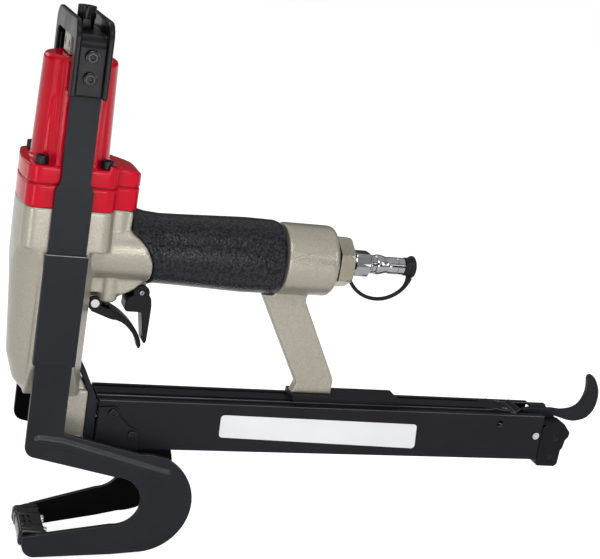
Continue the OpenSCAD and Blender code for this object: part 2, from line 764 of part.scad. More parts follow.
module air_plug() {
    color(steel) difference() {
        union() {
            x_cyl(plug_thread_r, seal_x - 6, plug_hex_x);
            translate([plug_hex_x, 0, handle_z]) rotate([0, 90, 0])
                cylinder(r = plug_af / sqrt(3), h = plug_hex_l, $fn = 6);
            translate([0, 0, handle_z]) rotate([0, 90, 0]) rotate_extrude() polygon([
                [0, plug_hex_x + plug_hex_l],
                [plug_neck_r + 0.6, plug_hex_x + plug_hex_l], [plug_neck_r, plug_hex_x + plug_hex_l + 2],
                [plug_bump_r - 0.6, plug_hex_x + plug_hex_l + 3],
                [plug_bump_r, plug_hex_x + plug_hex_l + 4],
                [plug_bump_r, plug_hex_x + plug_hex_l + 6],
                [plug_bump_r - 0.8, plug_hex_x + plug_hex_l + 7],
                [plug_neck_r, plug_hex_x + plug_hex_l + 8], [plug_neck_r, plug_end_x - 14.5],
                [plug_tip_r, plug_end_x - 13.5], [plug_tip_r, cap_x - 0.6], [plug_end_r, cap_x - 0.2],
                [plug_end_r, plug_end_x - 0.8], [plug_end_r - 0.8, plug_end_x], [0, plug_end_x]]);
        }
        x_cyl(plug_bore_r, seal_x - 7, plug_end_x + 1);
    }
}

// A stretch of the tether's loop, from angle a0 to a1 below the plug's axis
module tether_arc(a0, a1) {
    translate([tether_x, 0, handle_z]) rotate([-90, 0, 0]) rotate([0, 0, a0])
        rotate_extrude(angle = a1 - a0) translate([tether_r, 0]) circle(r = tether_t, $fn = 24);
}

module cap_tether() {
    ring_a = acos((ring_x + tether_ring_t / 2 - tether_x) / tether_r);
    color(rubber) {
        difference() {
            x_cyl(plug_thread_r + 2.6, ring_x, ring_x + tether_ring_t);
            x_cyl(plug_thread_r + 0.15, ring_x - 1, ring_x + tether_ring_t + 1);
        }
        difference() {
            tether_arc(cap_hinge_a + hinge_gap_a, ring_a);
            x_cyl(plug_thread_r + 1.2, ring_x - 2, ring_x + tether_ring_t + 2);
            x_cyl(plug_af / sqrt(3) + slide_gap, plug_hex_x - screw_gap, plug_hex_x + plug_hex_l);
        }
    }
}

module dust_cap() {
    color(rubber) {
        difference() {
            union() {
                x_cyl(cap_tube_r, cap_x, plug_end_x + 2);
                translate([0, 0, handle_z]) rotate([0, 90, 0]) rotate_extrude() polygon([
                    [0, plug_end_x + 1],
                    [cap_disc_r - 0.6, plug_end_x + 1], [cap_disc_r, plug_end_x + 1.8],
                    [cap_disc_r - 0.4, plug_end_x + 3.4], [cap_disc_r - 2, plug_end_x + 4.4],
                    [0, plug_end_x + 4.8]]);
            }
            x_cyl(plug_end_r + cap_socket_gap, cap_x - 1, plug_end_x + 0.5);
        }
        difference() {
            tether_arc(12, cap_hinge_a - hinge_gap_a);
            x_cyl(cap_tube_r - 0.5, cap_x - 3, plug_end_x + 3);
            x_cyl(cap_disc_r - 0.8, plug_end_x + 1.4, plug_end_x + 20);
        }
    }
}

module strap_guide() {
    in_half = strap_wide + slide_gap;
    color(charcoal) translate([0, 0, guide_low_z]) linear_extrude(guide_h) difference() {
        translate([-in_half - guide_t, side_half_w]) square([2 * (in_half + guide_t),
            arm_t + 2 * slide_gap + guide_t]);
        translate([-in_half, side_half_w - 1]) square([2 * in_half, 1 + arm_t + 2 * slide_gap]);
    }
}

module left_guide() {
    mirror([0, 1, 0]) strap_guide();
}

module right_guide() {
    strap_guide();
}

module trigger_valve() {
    color(bronze) difference() {
        z_cyl(valve_body_r, valve_x, 0, valve_low_z, valve_low_z + valve_body_h);
        z_cyl(stem_r + run_fit, valve_x, 0, valve_low_z - 1, valve_low_z + valve_body_h + 1);
    }
}

module trigger_pin() {
    color(steel) y_cyl(trigger_pin_r, trigger_x, trigger_z, -trigger_half_w - 0.6, trigger_half_w + 0.6);
}

module lock_pin() {
    color(steel) y_cyl(lock_pin_r, lock_x, lock_z, -lock_half_w - 0.4, lock_half_w + 0.4);
}

// Cover of the driver's channel, bevelled so that the strap hides it
module nose_front() {
    color(charcoal) difference() {
        box_between(-nose_front_x, channel_half_t, nose_half_w, 0, nose_top);
        box_between(-channel_half_t, channel_half_t + 1, channel_half_w, -1, nose_h + 1);
        for (s = [-1, 1]) {
            x_cyl(nose_screw_r + screw_gap, -0.4, channel_half_t + 1, nose_screw_z[0], s * nose_screw_y);
            x_cyl(nose_screw_r + screw_gap, -nose_front_x - 1, channel_half_t + 1, nose_screw_z[1],
                s * nose_screw_y);
            x_cyl(nose_screw_head_r + screw_gap, -nose_front_x - 1, nose_seat_x, nose_screw_z[1],
                s * nose_screw_y);
            translate([-nose_front_x, s * nose_half_w, nose_h / 2]) rotate([0, 0, 45])
                cube([nose_bevel, nose_bevel, nose_h + 2], center = true);
        }
        translate([-nose_front_x, 0, 0]) rotate([0, 45, 0]) cube([2.4, 4 * nose_half_w, 2.4],
            center = true);
    }
}

module nose_guide() {
    color(charcoal) difference() {
        box_between(channel_half_t, guide_rear_x, nose_half_w, 0, nose_top);
        box_between(channel_half_t - 1, guide_rear_x + 1, window_half_w, window_low, window_top);
        for (s = [-1, 1], z = nose_screw_z) {
            x_cyl(nose_screw_r + screw_gap, channel_half_t - 1, guide_rear_x + 1, z, s * nose_screw_y);
        }
        translate([guide_rear_x, 0, 0]) rotate([0, 45, 0]) cube([4, 4 * nose_half_w, 4], center = true);
    }
}

// The lower pair comes in from behind, the upper pair from the front into the casting
module nose_screws() {
    color(black) for (s = [-1, 1]) {
        translate([guide_rear_x, s * nose_screw_y, nose_screw_z[0]]) rotate([0, 90, 0])
            socket_screw(nose_screw_r, guide_rear_x + 0.1, nose_screw_head_r, nose_screw_head_h);
        translate([nose_seat_x, s * nose_screw_y, nose_screw_z[1]]) rotate([0, -90, 0])
            socket_screw(nose_screw_r, guide_rear_x + 6 - nose_seat_x, nose_screw_head_r,
                nose_screw_head_h);
    }
}

// Plate behind the foot, with an ear that leans forward on the casting
module nose_plate() {
    color(black) difference() {
        side_plate(-foot_half_w + 0.5, foot_half_w - 0.5) polygon([[nose_plate_x, box_low_z],
            [nose_plate_rear, box_low_z],
            [nose_plate_rear, rail_top - 3], [nose_plate_rear - 2, rail_top + 1.5],
            [barrel_rear_x + 0.2 + ear_t, ear_top_z], [barrel_rear_x + 0.2, ear_top_z],
            [nose_plate_x - 0.7, foot_top_z + 0.3], [nose_plate_x, foot_top_z - 0.6]]);
        box_between(nose_plate_x - 1, nose_plate_rear + 1, window_half_w, box_low_z - 1, window_top);
    }
}

module rail_section() {
    translate([-rail_flange_half_w, rail_z]) square([2 * rail_flange_half_w, rail_flange_t]);
    difference() {
        translate([-rail_half_w, rail_z]) square([2 * rail_half_w, rail_h]);
        for (y = [-rail_half_w + 2.6, rail_half_w - 2.6]) {
            translate([y - 1.2, rail_top - 1.5]) square([2.4, 3]);
        }
    }
}

// The rail ends in a curled lip
module magazine_rail() {
    color(black) difference() {
        union() {
            front_plate(nose_plate_rear, rail_rear_x) rail_section();
            side_plate(-rail_half_w, rail_half_w) polygon([[rail_rear_x - 16, rail_top - 0.5],
                [rail_rear_x - 10, rail_top + 1],
                [rail_rear_x - 4, rail_top - 0.2], [rail_rear_x + 4, rail_top - 1.4],
                [rail_rear_x + 7, rail_top + 1.2],
                [rail_rear_x + 7.6, rail_top + 0.4], [rail_rear_x + 5, rail_top - 3],
                [rail_rear_x - 2, rail_top - 3]]);
        }
        for (x = strut_screw_x) {
            z_cyl(strut_screw_r + screw_gap, x, 0, rail_z - 1, rail_top + 1);
            z_cyl(strut_screw_head_r + screw_gap, x, 0, rail_z - 1,
                rail_z + strut_screw_head_h + screw_gap);
        }
    }
}

module rail_bracket() {
    color(black) difference() {
        side_plate(-rail_half_w + 0.6, rail_half_w - 0.6) polygon([[strut_foot_front, bracket_z],
            [bracket_rear_x, bracket_z],
            [bracket_rear_x - 3, strut_low_z], [strut_foot_front, strut_low_z]]);
        for (x = strut_screw_x) {
            z_cyl(strut_screw_r + screw_gap, x, 0, bracket_z - 1, strut_low_z + 1);
        }
    }
}

module strut_screws() {
    color(black) for (x = strut_screw_x) {
        translate([x, 0, rail_z + strut_screw_head_h]) rotate([180, 0, 0])
            socket_screw(strut_screw_r, strut_low_z - rail_z - strut_screw_head_h + strut_screw_deep,
                strut_screw_head_r, strut_screw_head_h);
    }
}

// Arch outline of the yoke in Y and Z
module arch(half_w, top, r, low) {
    translate([-half_w, low]) square([2 * half_w, top - r - low]);
    translate([-half_w + r, low]) square([2 * (half_w - r), top - low]);
    for (s = [-1, 1]) {
        translate([s * (half_w - r), top - r]) circle(r = r);
    }
}

module yoke() {
    color(charcoal) difference() {
        union() {
            front_plate(-yoke_half_x, yoke_half_x)
                arch(arm_out + yoke_t, yoke_web_top, yoke_corner, yoke_low_z);
            for (x = [-yoke_half_x, yoke_half_x - yoke_flange_t]) {
                front_plate(x, x + yoke_flange_t)
                    arch(arm_out + yoke_t + yoke_side, yoke_top, yoke_corner + 2, yoke_low_z);
            }
        }
        front_plate(-yoke_half_x - 1, yoke_half_x + 1)
            arch(arm_out, yoke_in_z, yoke_corner - yoke_t, yoke_low_z - 1);
        z_cyl(adjust_r + screw_gap, 0, 0, yoke_in_z - 1, yoke_web_top + 1);
        for (z = yoke_screw_z) {
            y_cyl(yoke_screw_r + screw_gap, 0, z, -arm_out - yoke_t - 1, arm_out + yoke_t + 1);
        }
    }
}

module yoke_screws() {
    color(black) for (s = [-1, 1], z = yoke_screw_z) {
        translate([0, s * (arm_out + yoke_t), z]) rotate([-90 * s, 0, 0])
            socket_screw(yoke_screw_r, yoke_t + arm_t - 0.3, yoke_screw_head_r, yoke_screw_head_h);
    }
}

module adjusting_screw() {
    color(black) translate([0, 0, yoke_web_top + nut_h])
        socket_screw(adjust_r, nut_h + yoke_t + rod_end_h - 2, adjust_head_r, adjust_head_h);
}

module lock_nut() {
    color(black) difference() {
        translate([0, 0, yoke_web_top]) cylinder(r = adjust_head_r - 0.3, h = nut_h, $fn = 6);
        z_cyl(adjust_r + screw_gap, 0, 0, yoke_web_top - 1, yoke_web_top + nut_h + 1);
    }
}

module rod_end() {
    color(beige) difference() {
        box_between(-rod_end_half_x, rod_end_half_x, rod_end_half_w, rod_end_z, yoke_in_z);
        z_cyl(adjust_r + screw_gap, 0, 0, rod_end_z + 1.5, yoke_in_z + 1);
        for (s = [-1, 1]) {
            x_cyl(2, -rod_end_half_x - 1, rod_end_half_x + 1, rod_end_z + rod_end_h / 2, s * 6.6);
        }
    }
}

module piston_rod() {
    color(steel) z_cyl(rod_r, 0, 0, piston_low_z + piston_floor, rod_end_z);
}

// Cup piston: the return spring stands inside its skirt
module clinch_piston() {
    seal_z = piston_low_z + clinch_piston_h / 2 - seal_h / 2;
    color(steel) difference() {
        z_cyl(clinch_r - run_fit, 0, 0, piston_low_z, piston_low_z + clinch_piston_h);
        z_cyl(piston_skirt_r, 0, 0, piston_low_z + piston_floor, piston_low_z + clinch_piston_h + 1);
        translate([0, 0, seal_z]) difference() {
            cylinder(r = clinch_r + 1, h = seal_h);
            translate([0, 0, -1]) cylinder(r = clinch_r - seal_t, h = seal_h + 2);
        }
    }
}

module clinch_seal() {
    seal_z = piston_low_z + clinch_piston_h / 2 - seal_h / 2;
    color(rubber) difference() {
        z_cyl(clinch_r - run_fit, 0, 0, seal_z + 0.1, seal_z + seal_h - 0.1);
        z_cyl(clinch_r - seal_t + run_fit, 0, 0, seal_z - 1, seal_z + seal_h + 1);
    }
}

module clinch_spring() {
    color(steel) translate([0, 0, piston_low_z + piston_floor + 0.1])
        coil(spring_r, spring_wire_r, cap_ceiling - piston_low_z - piston_floor - 0.2, 5, 16);
}

// Outline of one arm in X and Z: strap, shoulder and C-shaped hook
module arm_outline() {
    difference() {
        union() {
            polygon([[-strap_wide, arm_low_z + arm_front_r], [strap_wide, arm_low_z + arm_front_r],
                [strap_wide, strap_step_z], [strap_half_w, strap_neck_z], [strap_half_w, arm_top_z],
                [-strap_half_w, arm_top_z], [-strap_half_w, strap_neck_z], [-strap_wide, strap_step_z]]);
            translate([-strap_wide + arm_front_r, arm_low_z + arm_front_r]) circle(r = arm_front_r);
            polygon([[arm_front_r - strap_wide - 1.4, 2], [arm_front_r - strap_wide - 1.4, 16],
                [strap_wide - 1, upper_edge_z + 1.6],
                [strap_wide + 1.6, upper_edge_z - 0.3], [74.5, 4.3], [hook_x + 6, hook_z],
                [mouth_x, hook_z]]);
            translate([hook_x, hook_z]) circle(r = hook_out_r);
            polygon([[lower_tip_x + lower_tip_r + 0.8, -60.3], [46.6, -55.2], [68, -51.6], [hook_x, hook_z],
                [mouth_x, -30], [lower_tip_x + lower_tip_r + 0.8, anvil_top_z]]);
            translate([lower_tip_x, lower_tip_z]) square([2 * lower_tip_r, lower_tip_r]);
            translate([lower_tip_x + lower_tip_r, lower_tip_z]) circle(r = lower_tip_r);
        }
        translate([mouth_x, mouth_z]) circle(r = hook_in_r);
        polygon([[mouth_x, mouth_z + hook_in_r], [-30, mouth_z + hook_in_r + 16.9],
            [-30, anvil_top_z - 8.5],
            [lower_tip_x + lower_tip_r, anvil_top_z], [mouth_x, mouth_z - hook_in_r]]);
    }
}

// Round-ended bead that follows a line of points
module bead(points, w) {
    for (i = [0 : len(points) - 2]) {
        d = points[i + 1] - points[i];
        translate(points[i]) rotate(atan2(d[1], d[0])) translate([0, -w / 2]) square([norm(d), w]);
    }
    for (p = points) {
        translate(p) circle(r = w / 2 + 0.06);
    }
}

// Half width between the turned-in arms at a distance x behind the driver
function arm_gap(x) = arm_out - (arm_bend_x - x) * tan(arm_turn) - arm_t / cos(arm_turn);

// The sheet is flat from the strap to the hook; below that it turns in towards the anvil
module arm_sheet() {
    reach = 50;
    drop = 80;
    rear = hook_x + hook_out_r + 1;
    translate([-reach, arm_in, arm_bend_z]) cube([reach + rear, arm_t, arm_top_z - arm_bend_z + 1]);
    translate([0, 0, -drop]) linear_extrude(drop + arm_bend_z) polygon([[-reach, arm_gap(-reach)],
        [arm_bend_x + arm_t * tan(arm_turn / 2), arm_in], [rear, arm_in], [rear, arm_out],
        [arm_bend_x, arm_out],
        [-reach, arm_out - (arm_bend_x + reach) * tan(arm_turn)]]);
}

module arm() {
    color(charcoal) difference() {
        union() {
            intersection() {
                side_plate(0, arm_out + 1) arm_outline();
                arm_sheet();
            }
            side_plate(arm_out - 0.5, arm_out + bead_h) bead([[-3, 15.8], [9, 14.6], [72, -3.4]], bead_w);
        }
        for (z = yoke_screw_z) {
            y_cyl(yoke_screw_r + screw_gap, 0, z, arm_in - 1, arm_out + 1);
        }
    }
}

module left_arm() {
    mirror([0, 1, 0]) arm();
}

module right_arm() {
    arm();
}

module anvil() {
    color(black) difference() {
        translate([0, 0, anvil_top_z - anvil_h]) linear_extrude(anvil_h) polygon([
            [anvil_front_x, 0.1 - arm_gap(anvil_front_x)], [anvil_rear_x, 0.1 - arm_gap(anvil_rear_x)],
            [anvil_rear_x, arm_gap(anvil_rear_x) - 0.1], [anvil_front_x, arm_gap(anvil_front_x) - 0.1]]);
        for (x = [-1.6, 1.6], s = [-1, 1]) {
            x_cyl(4.4, x - 0.7, x + 0.7, anvil_top_z + 2.8, s * 3.1);
        }
        for (s = [-1, 1]) {
            translate([anvil_front_x - 1, s * 11 - 1.5, anvil_top_z - 3]) cube([20, 3, 5]);
        }
    }
}

module driver_piston() {
    color(steel) difference() {
        z_cyl(driver_r - run_fit, 0, 0, piston_z, piston_z + piston_h);
        translate([0, 0, piston_z + piston_h / 2 - seal_h / 2]) difference() {
            cylinder(r = driver_r + 1, h = seal_h);
            translate([0, 0, -1]) cylinder(r = driver_r - seal_t, h = seal_h + 2);
        }
        box_between(-blade_t / 2 - 0.05, blade_t / 2 + 0.05, blade_half_w + 0.05, piston_z - 1,
            piston_z + blade_seat);
    }
}

module driver_seal() {
    seal_z = piston_z + piston_h / 2 - seal_h / 2;
    color(rubber) difference() {
        z_cyl(driver_r - run_fit, 0, 0, seal_z + 0.1, seal_z + seal_h - 0.1);
        z_cyl(driver_r - seal_t + run_fit, 0, 0, seal_z - 1, seal_z + seal_h + 1);
    }
}

module driver_blade() {
    color(steel) box_between(-blade_t / 2, blade_t / 2, blade_half_w, blade_tip_z, piston_z + blade_seat);
}

// Curved lever: two cheeks straddle the casting's lug and a blade carries the finger
module trigger() {
    color(black) difference() {
        side_plate(-trigger_half_w, trigger_half_w) {
            translate([trigger_x, trigger_z]) circle(r = trigger_boss_r);
            translate([trigger_x, trigger_z]) polygon([[barrel_rear_x + 0.5 - trigger_x, -2.2], [-1.3, -5],
                [9.1, -8.8], [13.2, -9.8], [16.9, -11.5], [19.7, -13.4], [22.2, -15.8], [24.5, -18.4],
                [26.3, -21], [27.6, -23.7], [28.5, -26.6], [29.3, -27.9], [30.3, -27.6], [30.8, -25.8],
                [30.2, -23], [29.1, -20.4], [27.6, -17.8], [25.9, -15.4], [23.9, -13], [21.8, -10.8],
                [19.5, -8.9], [17, -7.1], [14.4, -5.7], [9.7, -3.8], [3.5, -1.5]]);
        }
        box_between(0, valve_x + stem_r + 0.6, lug_half_w + cheek_gap, stem_low_z - 0.3, handle_z);
        box_between(0, trigger_x, lug_half_w + cheek_gap, trigger_z - 12, handle_z);
        y_cyl(trigger_pin_r + run_fit, trigger_x, trigger_z, -trigger_half_w - 1, trigger_half_w + 1);
        for (s = [-1, 1]) {
            translate([trigger_x + 11.7, s * (lever_half_w + 10) - 10, trigger_z - 42]) cube([30, 20, 50]);
        }
    }
}

module valve_stem() {
    color(black) {
        z_cyl(stem_r, valve_x, 0, stem_low_z, stem_head_z + 0.1);
        z_cyl(stem_head_r, valve_x, 0, stem_head_z, stem_head_z + stem_head_h);
    }
}

module valve_spring() {
    z0 = stem_head_z + stem_head_h + 0.05;
    color(steel) translate([valve_x, 0, z0]) coil(2.4, valve_wire_r, valve_top_z - z0 - 0.05, 3);
}

// Trigger lock: a boss on its pin, a block ahead of it and a tail for the finger
module lock_lever() {
    color(black) difference() {
        side_plate(-lock_half_w, lock_half_w) {
            translate([lock_x, lock_z]) circle(r = lock_boss_r);
            translate([lock_x, lock_z]) polygon([[-4.3, -1.5], [-6.9, -3.1], [-8.7, -5.5], [-8.7, -10.4],
                [-7.5, -11.6], [1.1, -11.6], [2, -16], [4, -28.3], [4.6, -30.1], [5.5, -30.3], [6.3, -28.5],
                [6.6, -14.5], [6.6, -7.5], [5.9, -3.1], [4.3, -0.9]]);
        }
        box_between(lock_x - 20, lock_x + 20, lock_lug_half_w + cheek_gap, lock_z - lock_lug_r - 1,
            lock_z + 20);
        y_cyl(lock_pin_r + run_fit, lock_x, lock_z, -lock_half_w - 1, lock_half_w + 1);
    }
}

// Sheet channel whose top lips run on the rail's flanges
module magazine_box() {
    color(charcoal) difference() {
        front_plate(box_front_x, box_rear_x) difference() {
            translate([-box_half_w, box_low_z]) square([2 * box_half_w, lip_z + lip_t - box_low_z]);
            translate([-box_half_w + box_t, floor_top]) square([2 * (box_half_w - box_t),
                lip_z - floor_top]);
            translate([-lip_half_w, lip_z - 1]) square([2 * lip_half_w, lip_t + 2]);
        }
        y_cyl(latch_pin_r + run_fit, latch_x, latch_z, -box_half_w - 1, box_half_w + 1);
        y_cyl(1.9, latch_x - 27, 30, -box_half_w - 1, -box_half_w + box_t + 1);
        for (p = wing_screw_at) {
            y_cyl(wing_screw_r + screw_gap, p[0], p[1], -box_half_w - 1, box_half_w + 1);
        }
    }
}

module magazine_wings() {
    color(charcoal) for (s = [0, 1]) {
        mirror([0, s, 0]) difference() {
            side_plate(box_half_w, box_half_w + wing_t) translate([box_front_x, 0]) polygon([[0, box_low_z],
                [25, box_low_z], [25, 15.5], [23.5, 18.6], [19, 20.6], [12.4, 27], [11.4, 31.4],
                [9, 32.6], [0, 32]]);
            for (p = wing_screw_at) {
                y_cyl(wing_screw_r + screw_gap, p[0], p[1], box_half_w - 1, box_half_w + wing_t + 1);
            }
        }
    }
}

module wing_screws() {
    color(black) for (s = [-1, 1], p = wing_screw_at) {
        translate([p[0], s * (box_half_w + wing_t), p[1]]) rotate([-90 * s, 0, 0])
            socket_screw(wing_screw_r, wing_t + box_t - 0.1, wing_screw_head_r, wing_screw_head_h);
    }
}

module staple_core() {
    color(steel) box_between(core_front_x, tongue_x, core_half_w, floor_top, core_top_z);
}

// Block that closes the magazine: its tongue sits in the box and its slot holds the latch
module end_block() {
    color(black) difference() {
        union() {
            box_between(tongue_x, box_rear_x + 6, tongue_half_w, floor_top + 0.1, rail_z - 1.2);
            side_plate(-block_half_w, block_half_w) translate([box_rear_x, 0]) polygon([[0.2, 4.6],
                [1.5, 1.8],
                [14.1, 1.6], [16.1, 3.4], [16.3, 13], [17.5, 14.4], [18.3, 20], [20.1, 22.4], [20.5, 25.4],
                [15.5, 31], [13.5, 31.6], [3, 30.6], [0.2, 28]]);
        }
        box_between(latch_x - 5.2, box_rear_x + 40, slot_half_w, 12, 60);
        box_between(tongue_x - 1, box_rear_x + 40, slot_half_w, pusher_top - 0.8, 60);
        y_cyl(latch_pin_r + run_fit, latch_x, latch_z, -box_half_w - 2, box_half_w + 2);
        x_cyl(pusher_rod_r + run_fit, tongue_x - 1, tongue_x + 4, pusher_rod_z);
        for (p = [[10.3, 21.5], [8.8, 9]], s = [-1, 1]) {
            y_cyl(1.4, box_rear_x + p[0], p[1], s * block_half_w - 0.6, s * block_half_w + 0.6);
        }
    }
}

module latch_pin() {
    color(steel) y_cyl(latch_pin_r, latch_x, latch_z, -box_half_w - 0.8, box_half_w + 0.8);
}

// Flat lever with a swept-up finger end, an eye on the pin and a toe under the rail
module latch_lever() {
    toe_top = rail_z - 0.5 - latch_z;
    color(charcoal) difference() {
        union() {
            side_plate(-latch_half_t, latch_half_t) translate([latch_x, latch_z]) {
                circle(r = 4.8);
                polygon([[-4.5, 0], [-4.3, 6.2], [-15.1, 6.4], [-15.1, toe_top], [-6.5, toe_top],
                    [-5.5, 12.7],
                    [-0.5, 13.9], [16.5, 13.9], [20.7, 13.4], [4.5, 0]]);
                polygon([[0.5, 13.7], [16.5, 13.7], [20.1, 13.3], [23.3, 13.3], [26.5, 13.7], [29.2, 14.3],
                    [31.5, 15.2], [33.5, 16.4], [35.1, 18.1], [36.6, 20.6], [37.5, 23.5], [38, 26.5],
                    [37.9, 29.5], [37.4, 32.8], [36.7, 35.9], [37.1, 37.2], [37.9, 38], [38.9, 38.3],
                    [39.9, 38.1], [42, 36.4], [43.7, 33.9], [45.4, 30.9], [46.6, 27.7], [47.2, 24.4],
                    [47.3, 21.1], [46.9, 17.7], [46, 14.5], [44.4, 11.6], [42.1, 9.1], [39.3, 7.5],
                    [35.9, 6.6], [32.3, 6.1], [28.5, 6.5], [23.5, 7.8], [11.5, 10.9]]);
            }
            translate([latch_x + 0.5, latch_half_t - 0.1, latch_z + 13.3]) cube([12, 4, 2]);
        }
        y_cyl(latch_pin_r + run_fit, latch_x, latch_z, -10, 10);
    }
}

module pusher() {
    color(steel) difference() {
        box_between(pusher_x, pusher_x + pusher_l, pusher_half_w, floor_top + slide_gap, pusher_top);
        box_between(pusher_x - 1, pusher_x + pusher_l + 1, core_half_w + slide_gap, floor_top - 1,
            core_top_z + slide_gap);
        x_cyl(pusher_rod_r + run_fit, pusher_x - 1, pusher_x + pusher_l + 1, pusher_rod_z);
    }
}

module pusher_rod() {
    color(steel) x_cyl(pusher_rod_r, pusher_x - 1, tongue_x + 2.8, pusher_rod_z);
}

module pusher_spring() {
    x0 = pusher_x + pusher_l + 0.1;
    color(steel) translate([x0, 0, pusher_rod_z]) rotate([0, 90, 0])
        coil(pusher_spring_r, pusher_wire_r, tongue_x - x0 - 0.1, 34, 8);
}

body_casting();
head_base();
head_gasket();
head_cap();
head_screws();
rod_bush();
driver_cylinder();
cylinder_seals();
driver_bumper();
handle_grip();
inlet_cap();
inlet_seal();
air_plug();
cap_tether();
left_guide();
right_guide();
trigger_valve();
trigger_pin();
lock_pin();
nose_front();
nose_guide();
nose_screws();
nose_plate();
magazine_rail();
rail_bracket();
strut_screws();
yoke();
yoke_screws();
adjusting_screw();
lock_nut();
rod_end();
piston_rod();
clinch_piston();
clinch_seal();
clinch_spring();
left_arm();
right_arm();
anvil();
driver_piston();
driver_seal();
driver_blade();
trigger();
valve_stem();
valve_spring();
lock_lever();
magazine_box();
magazine_wings();
wing_screws();
staple_core();
end_block();
latch_pin();
latch_lever();
pusher();
pusher_rod();
pusher_spring();
dust_cap();
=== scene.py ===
import math

import bmesh
import bpy
from mathutils import Matrix, Vector


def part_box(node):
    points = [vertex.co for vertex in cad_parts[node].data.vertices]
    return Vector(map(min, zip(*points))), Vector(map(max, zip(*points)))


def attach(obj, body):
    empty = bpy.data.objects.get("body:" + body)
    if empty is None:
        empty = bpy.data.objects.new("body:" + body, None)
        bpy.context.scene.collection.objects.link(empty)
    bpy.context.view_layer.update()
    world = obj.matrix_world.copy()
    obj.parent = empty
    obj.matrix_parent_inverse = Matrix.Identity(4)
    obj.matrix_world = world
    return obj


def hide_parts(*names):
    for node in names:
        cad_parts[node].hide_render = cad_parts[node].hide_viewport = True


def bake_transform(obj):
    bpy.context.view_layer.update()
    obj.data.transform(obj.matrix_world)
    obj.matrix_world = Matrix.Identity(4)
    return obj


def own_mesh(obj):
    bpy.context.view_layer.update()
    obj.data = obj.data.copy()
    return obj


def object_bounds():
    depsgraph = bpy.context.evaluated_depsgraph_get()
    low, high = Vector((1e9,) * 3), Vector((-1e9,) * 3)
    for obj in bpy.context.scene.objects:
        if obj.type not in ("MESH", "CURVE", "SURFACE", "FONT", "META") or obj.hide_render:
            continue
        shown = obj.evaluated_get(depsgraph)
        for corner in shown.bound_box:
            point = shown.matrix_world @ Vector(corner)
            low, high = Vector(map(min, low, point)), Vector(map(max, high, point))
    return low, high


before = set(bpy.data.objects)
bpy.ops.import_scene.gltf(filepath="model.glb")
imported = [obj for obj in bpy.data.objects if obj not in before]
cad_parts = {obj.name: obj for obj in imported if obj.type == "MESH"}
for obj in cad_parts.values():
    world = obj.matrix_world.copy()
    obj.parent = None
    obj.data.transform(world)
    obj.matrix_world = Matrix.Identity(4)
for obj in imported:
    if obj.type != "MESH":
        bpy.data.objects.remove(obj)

cad_box = [list(corner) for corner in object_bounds()]
scene = bpy.context.scene
MM = 0.001

# Studio: a plain pale paper floor under the hook, and the photograph's camera.
# Broad soft boxes stand left, in front, above, right and behind. A low box, a small strip near the strap
# and a long strip over the handle give plates and round pieces their soft bands of light.
scene.view_settings.view_transform = "Standard"
camera_data = bpy.data.cameras.new("camera")
camera_data.lens = 83.64
camera_data.sensor_width = 36.0
camera_data.clip_end = 20.0
camera = bpy.data.objects.new("camera", camera_data)
scene.collection.objects.link(camera)
camera_turn = Matrix(((0.9405, -0.0660, -0.3334), (-0.2994, 0.3035, -0.9046), (0.1609, 0.9506, 0.2657)))
camera.matrix_world = Matrix.Translation((-0.1308, -0.7450, 0.3301)) @ camera_turn.to_4x4()
scene.camera = camera

world = bpy.data.worlds.new("studio")
scene.world = world
world.use_nodes = True
world_nodes = world.node_tree.nodes
sky = world_nodes["Background"]
sky.inputs["Color"].default_value = (1.0, 1.0, 1.0, 1.0)


def seen_rays(tree):
    """1 for rays that see a white backdrop: camera, mirror and glass rays."""
    path = tree.nodes.new("ShaderNodeLightPath")
    total = path.outputs["Is Camera Ray"]
    for other in ("Is Glossy Ray", "Is Transmission Ray"):
        pick = tree.nodes.new("ShaderNodeMath")
        pick.operation = "MAXIMUM"
        tree.links.new(total, pick.inputs[0])
        tree.links.new(path.outputs[other], pick.inputs[1])
        total = pick.outputs[0]
    return total


sky_level = world_nodes.new("ShaderNodeMapRange")
sky_level.inputs["To Min"].default_value = 0.6
sky_level.inputs["To Max"].default_value = 1.0
world.node_tree.links.new(seen_rays(world.node_tree), sky_level.inputs["Value"])
# The studio's walls are dimmer than its white ceiling, which gives turned metal its dark bands
room_place = world_nodes.new("ShaderNodeTexCoord")
room_height = world_nodes.new("ShaderNodeSeparateXYZ")
room_wall = world_nodes.new("ShaderNodeMapRange")
room_wall.inputs["From Min"].default_value = 0.35
room_wall.inputs["From Max"].default_value = 0.80
room_wall.inputs["To Min"].default_value = 0.08
room_seen = world_nodes.new("ShaderNodeLightPath")
room_white = world_nodes.new("ShaderNodeMath")
room_white.operation = "MAXIMUM"
room_light = world_nodes.new("ShaderNodeMath")
room_light.operation = "MULTIPLY"
for start, stop in ((room_place.outputs["Generated"], room_height.inputs[0]),
                    (room_height.outputs["Z"], room_wall.inputs[0]),
                    (room_wall.outputs["Result"], room_white.inputs[0]),
                    (room_seen.outputs["Is Camera Ray"], room_white.inputs[1]),
                    (sky_level.outputs["Result"], room_light.inputs[0]),
                    (room_white.outputs[0], room_light.inputs[1]),
                    (room_light.outputs[0], sky.inputs["Strength"])):
    world.node_tree.links.new(start, stop)


def soft_box(name, place, aim, width, height, power):
    """A rectangular studio lamp at a place, turned to what it lights, in metres and watts."""
    lamp = bpy.data.lights.new(name, "AREA")
    lamp.shape = "RECTANGLE"
    lamp.size = width
    lamp.size_y = height
    lamp.energy = power
    box = bpy.data.objects.new(name, lamp)
    scene.collection.objects.link(box)
    box.location = place
    box.rotation_euler = (Vector(aim) - Vector(place)).to_track_quat("-Z", "Y").to_euler()


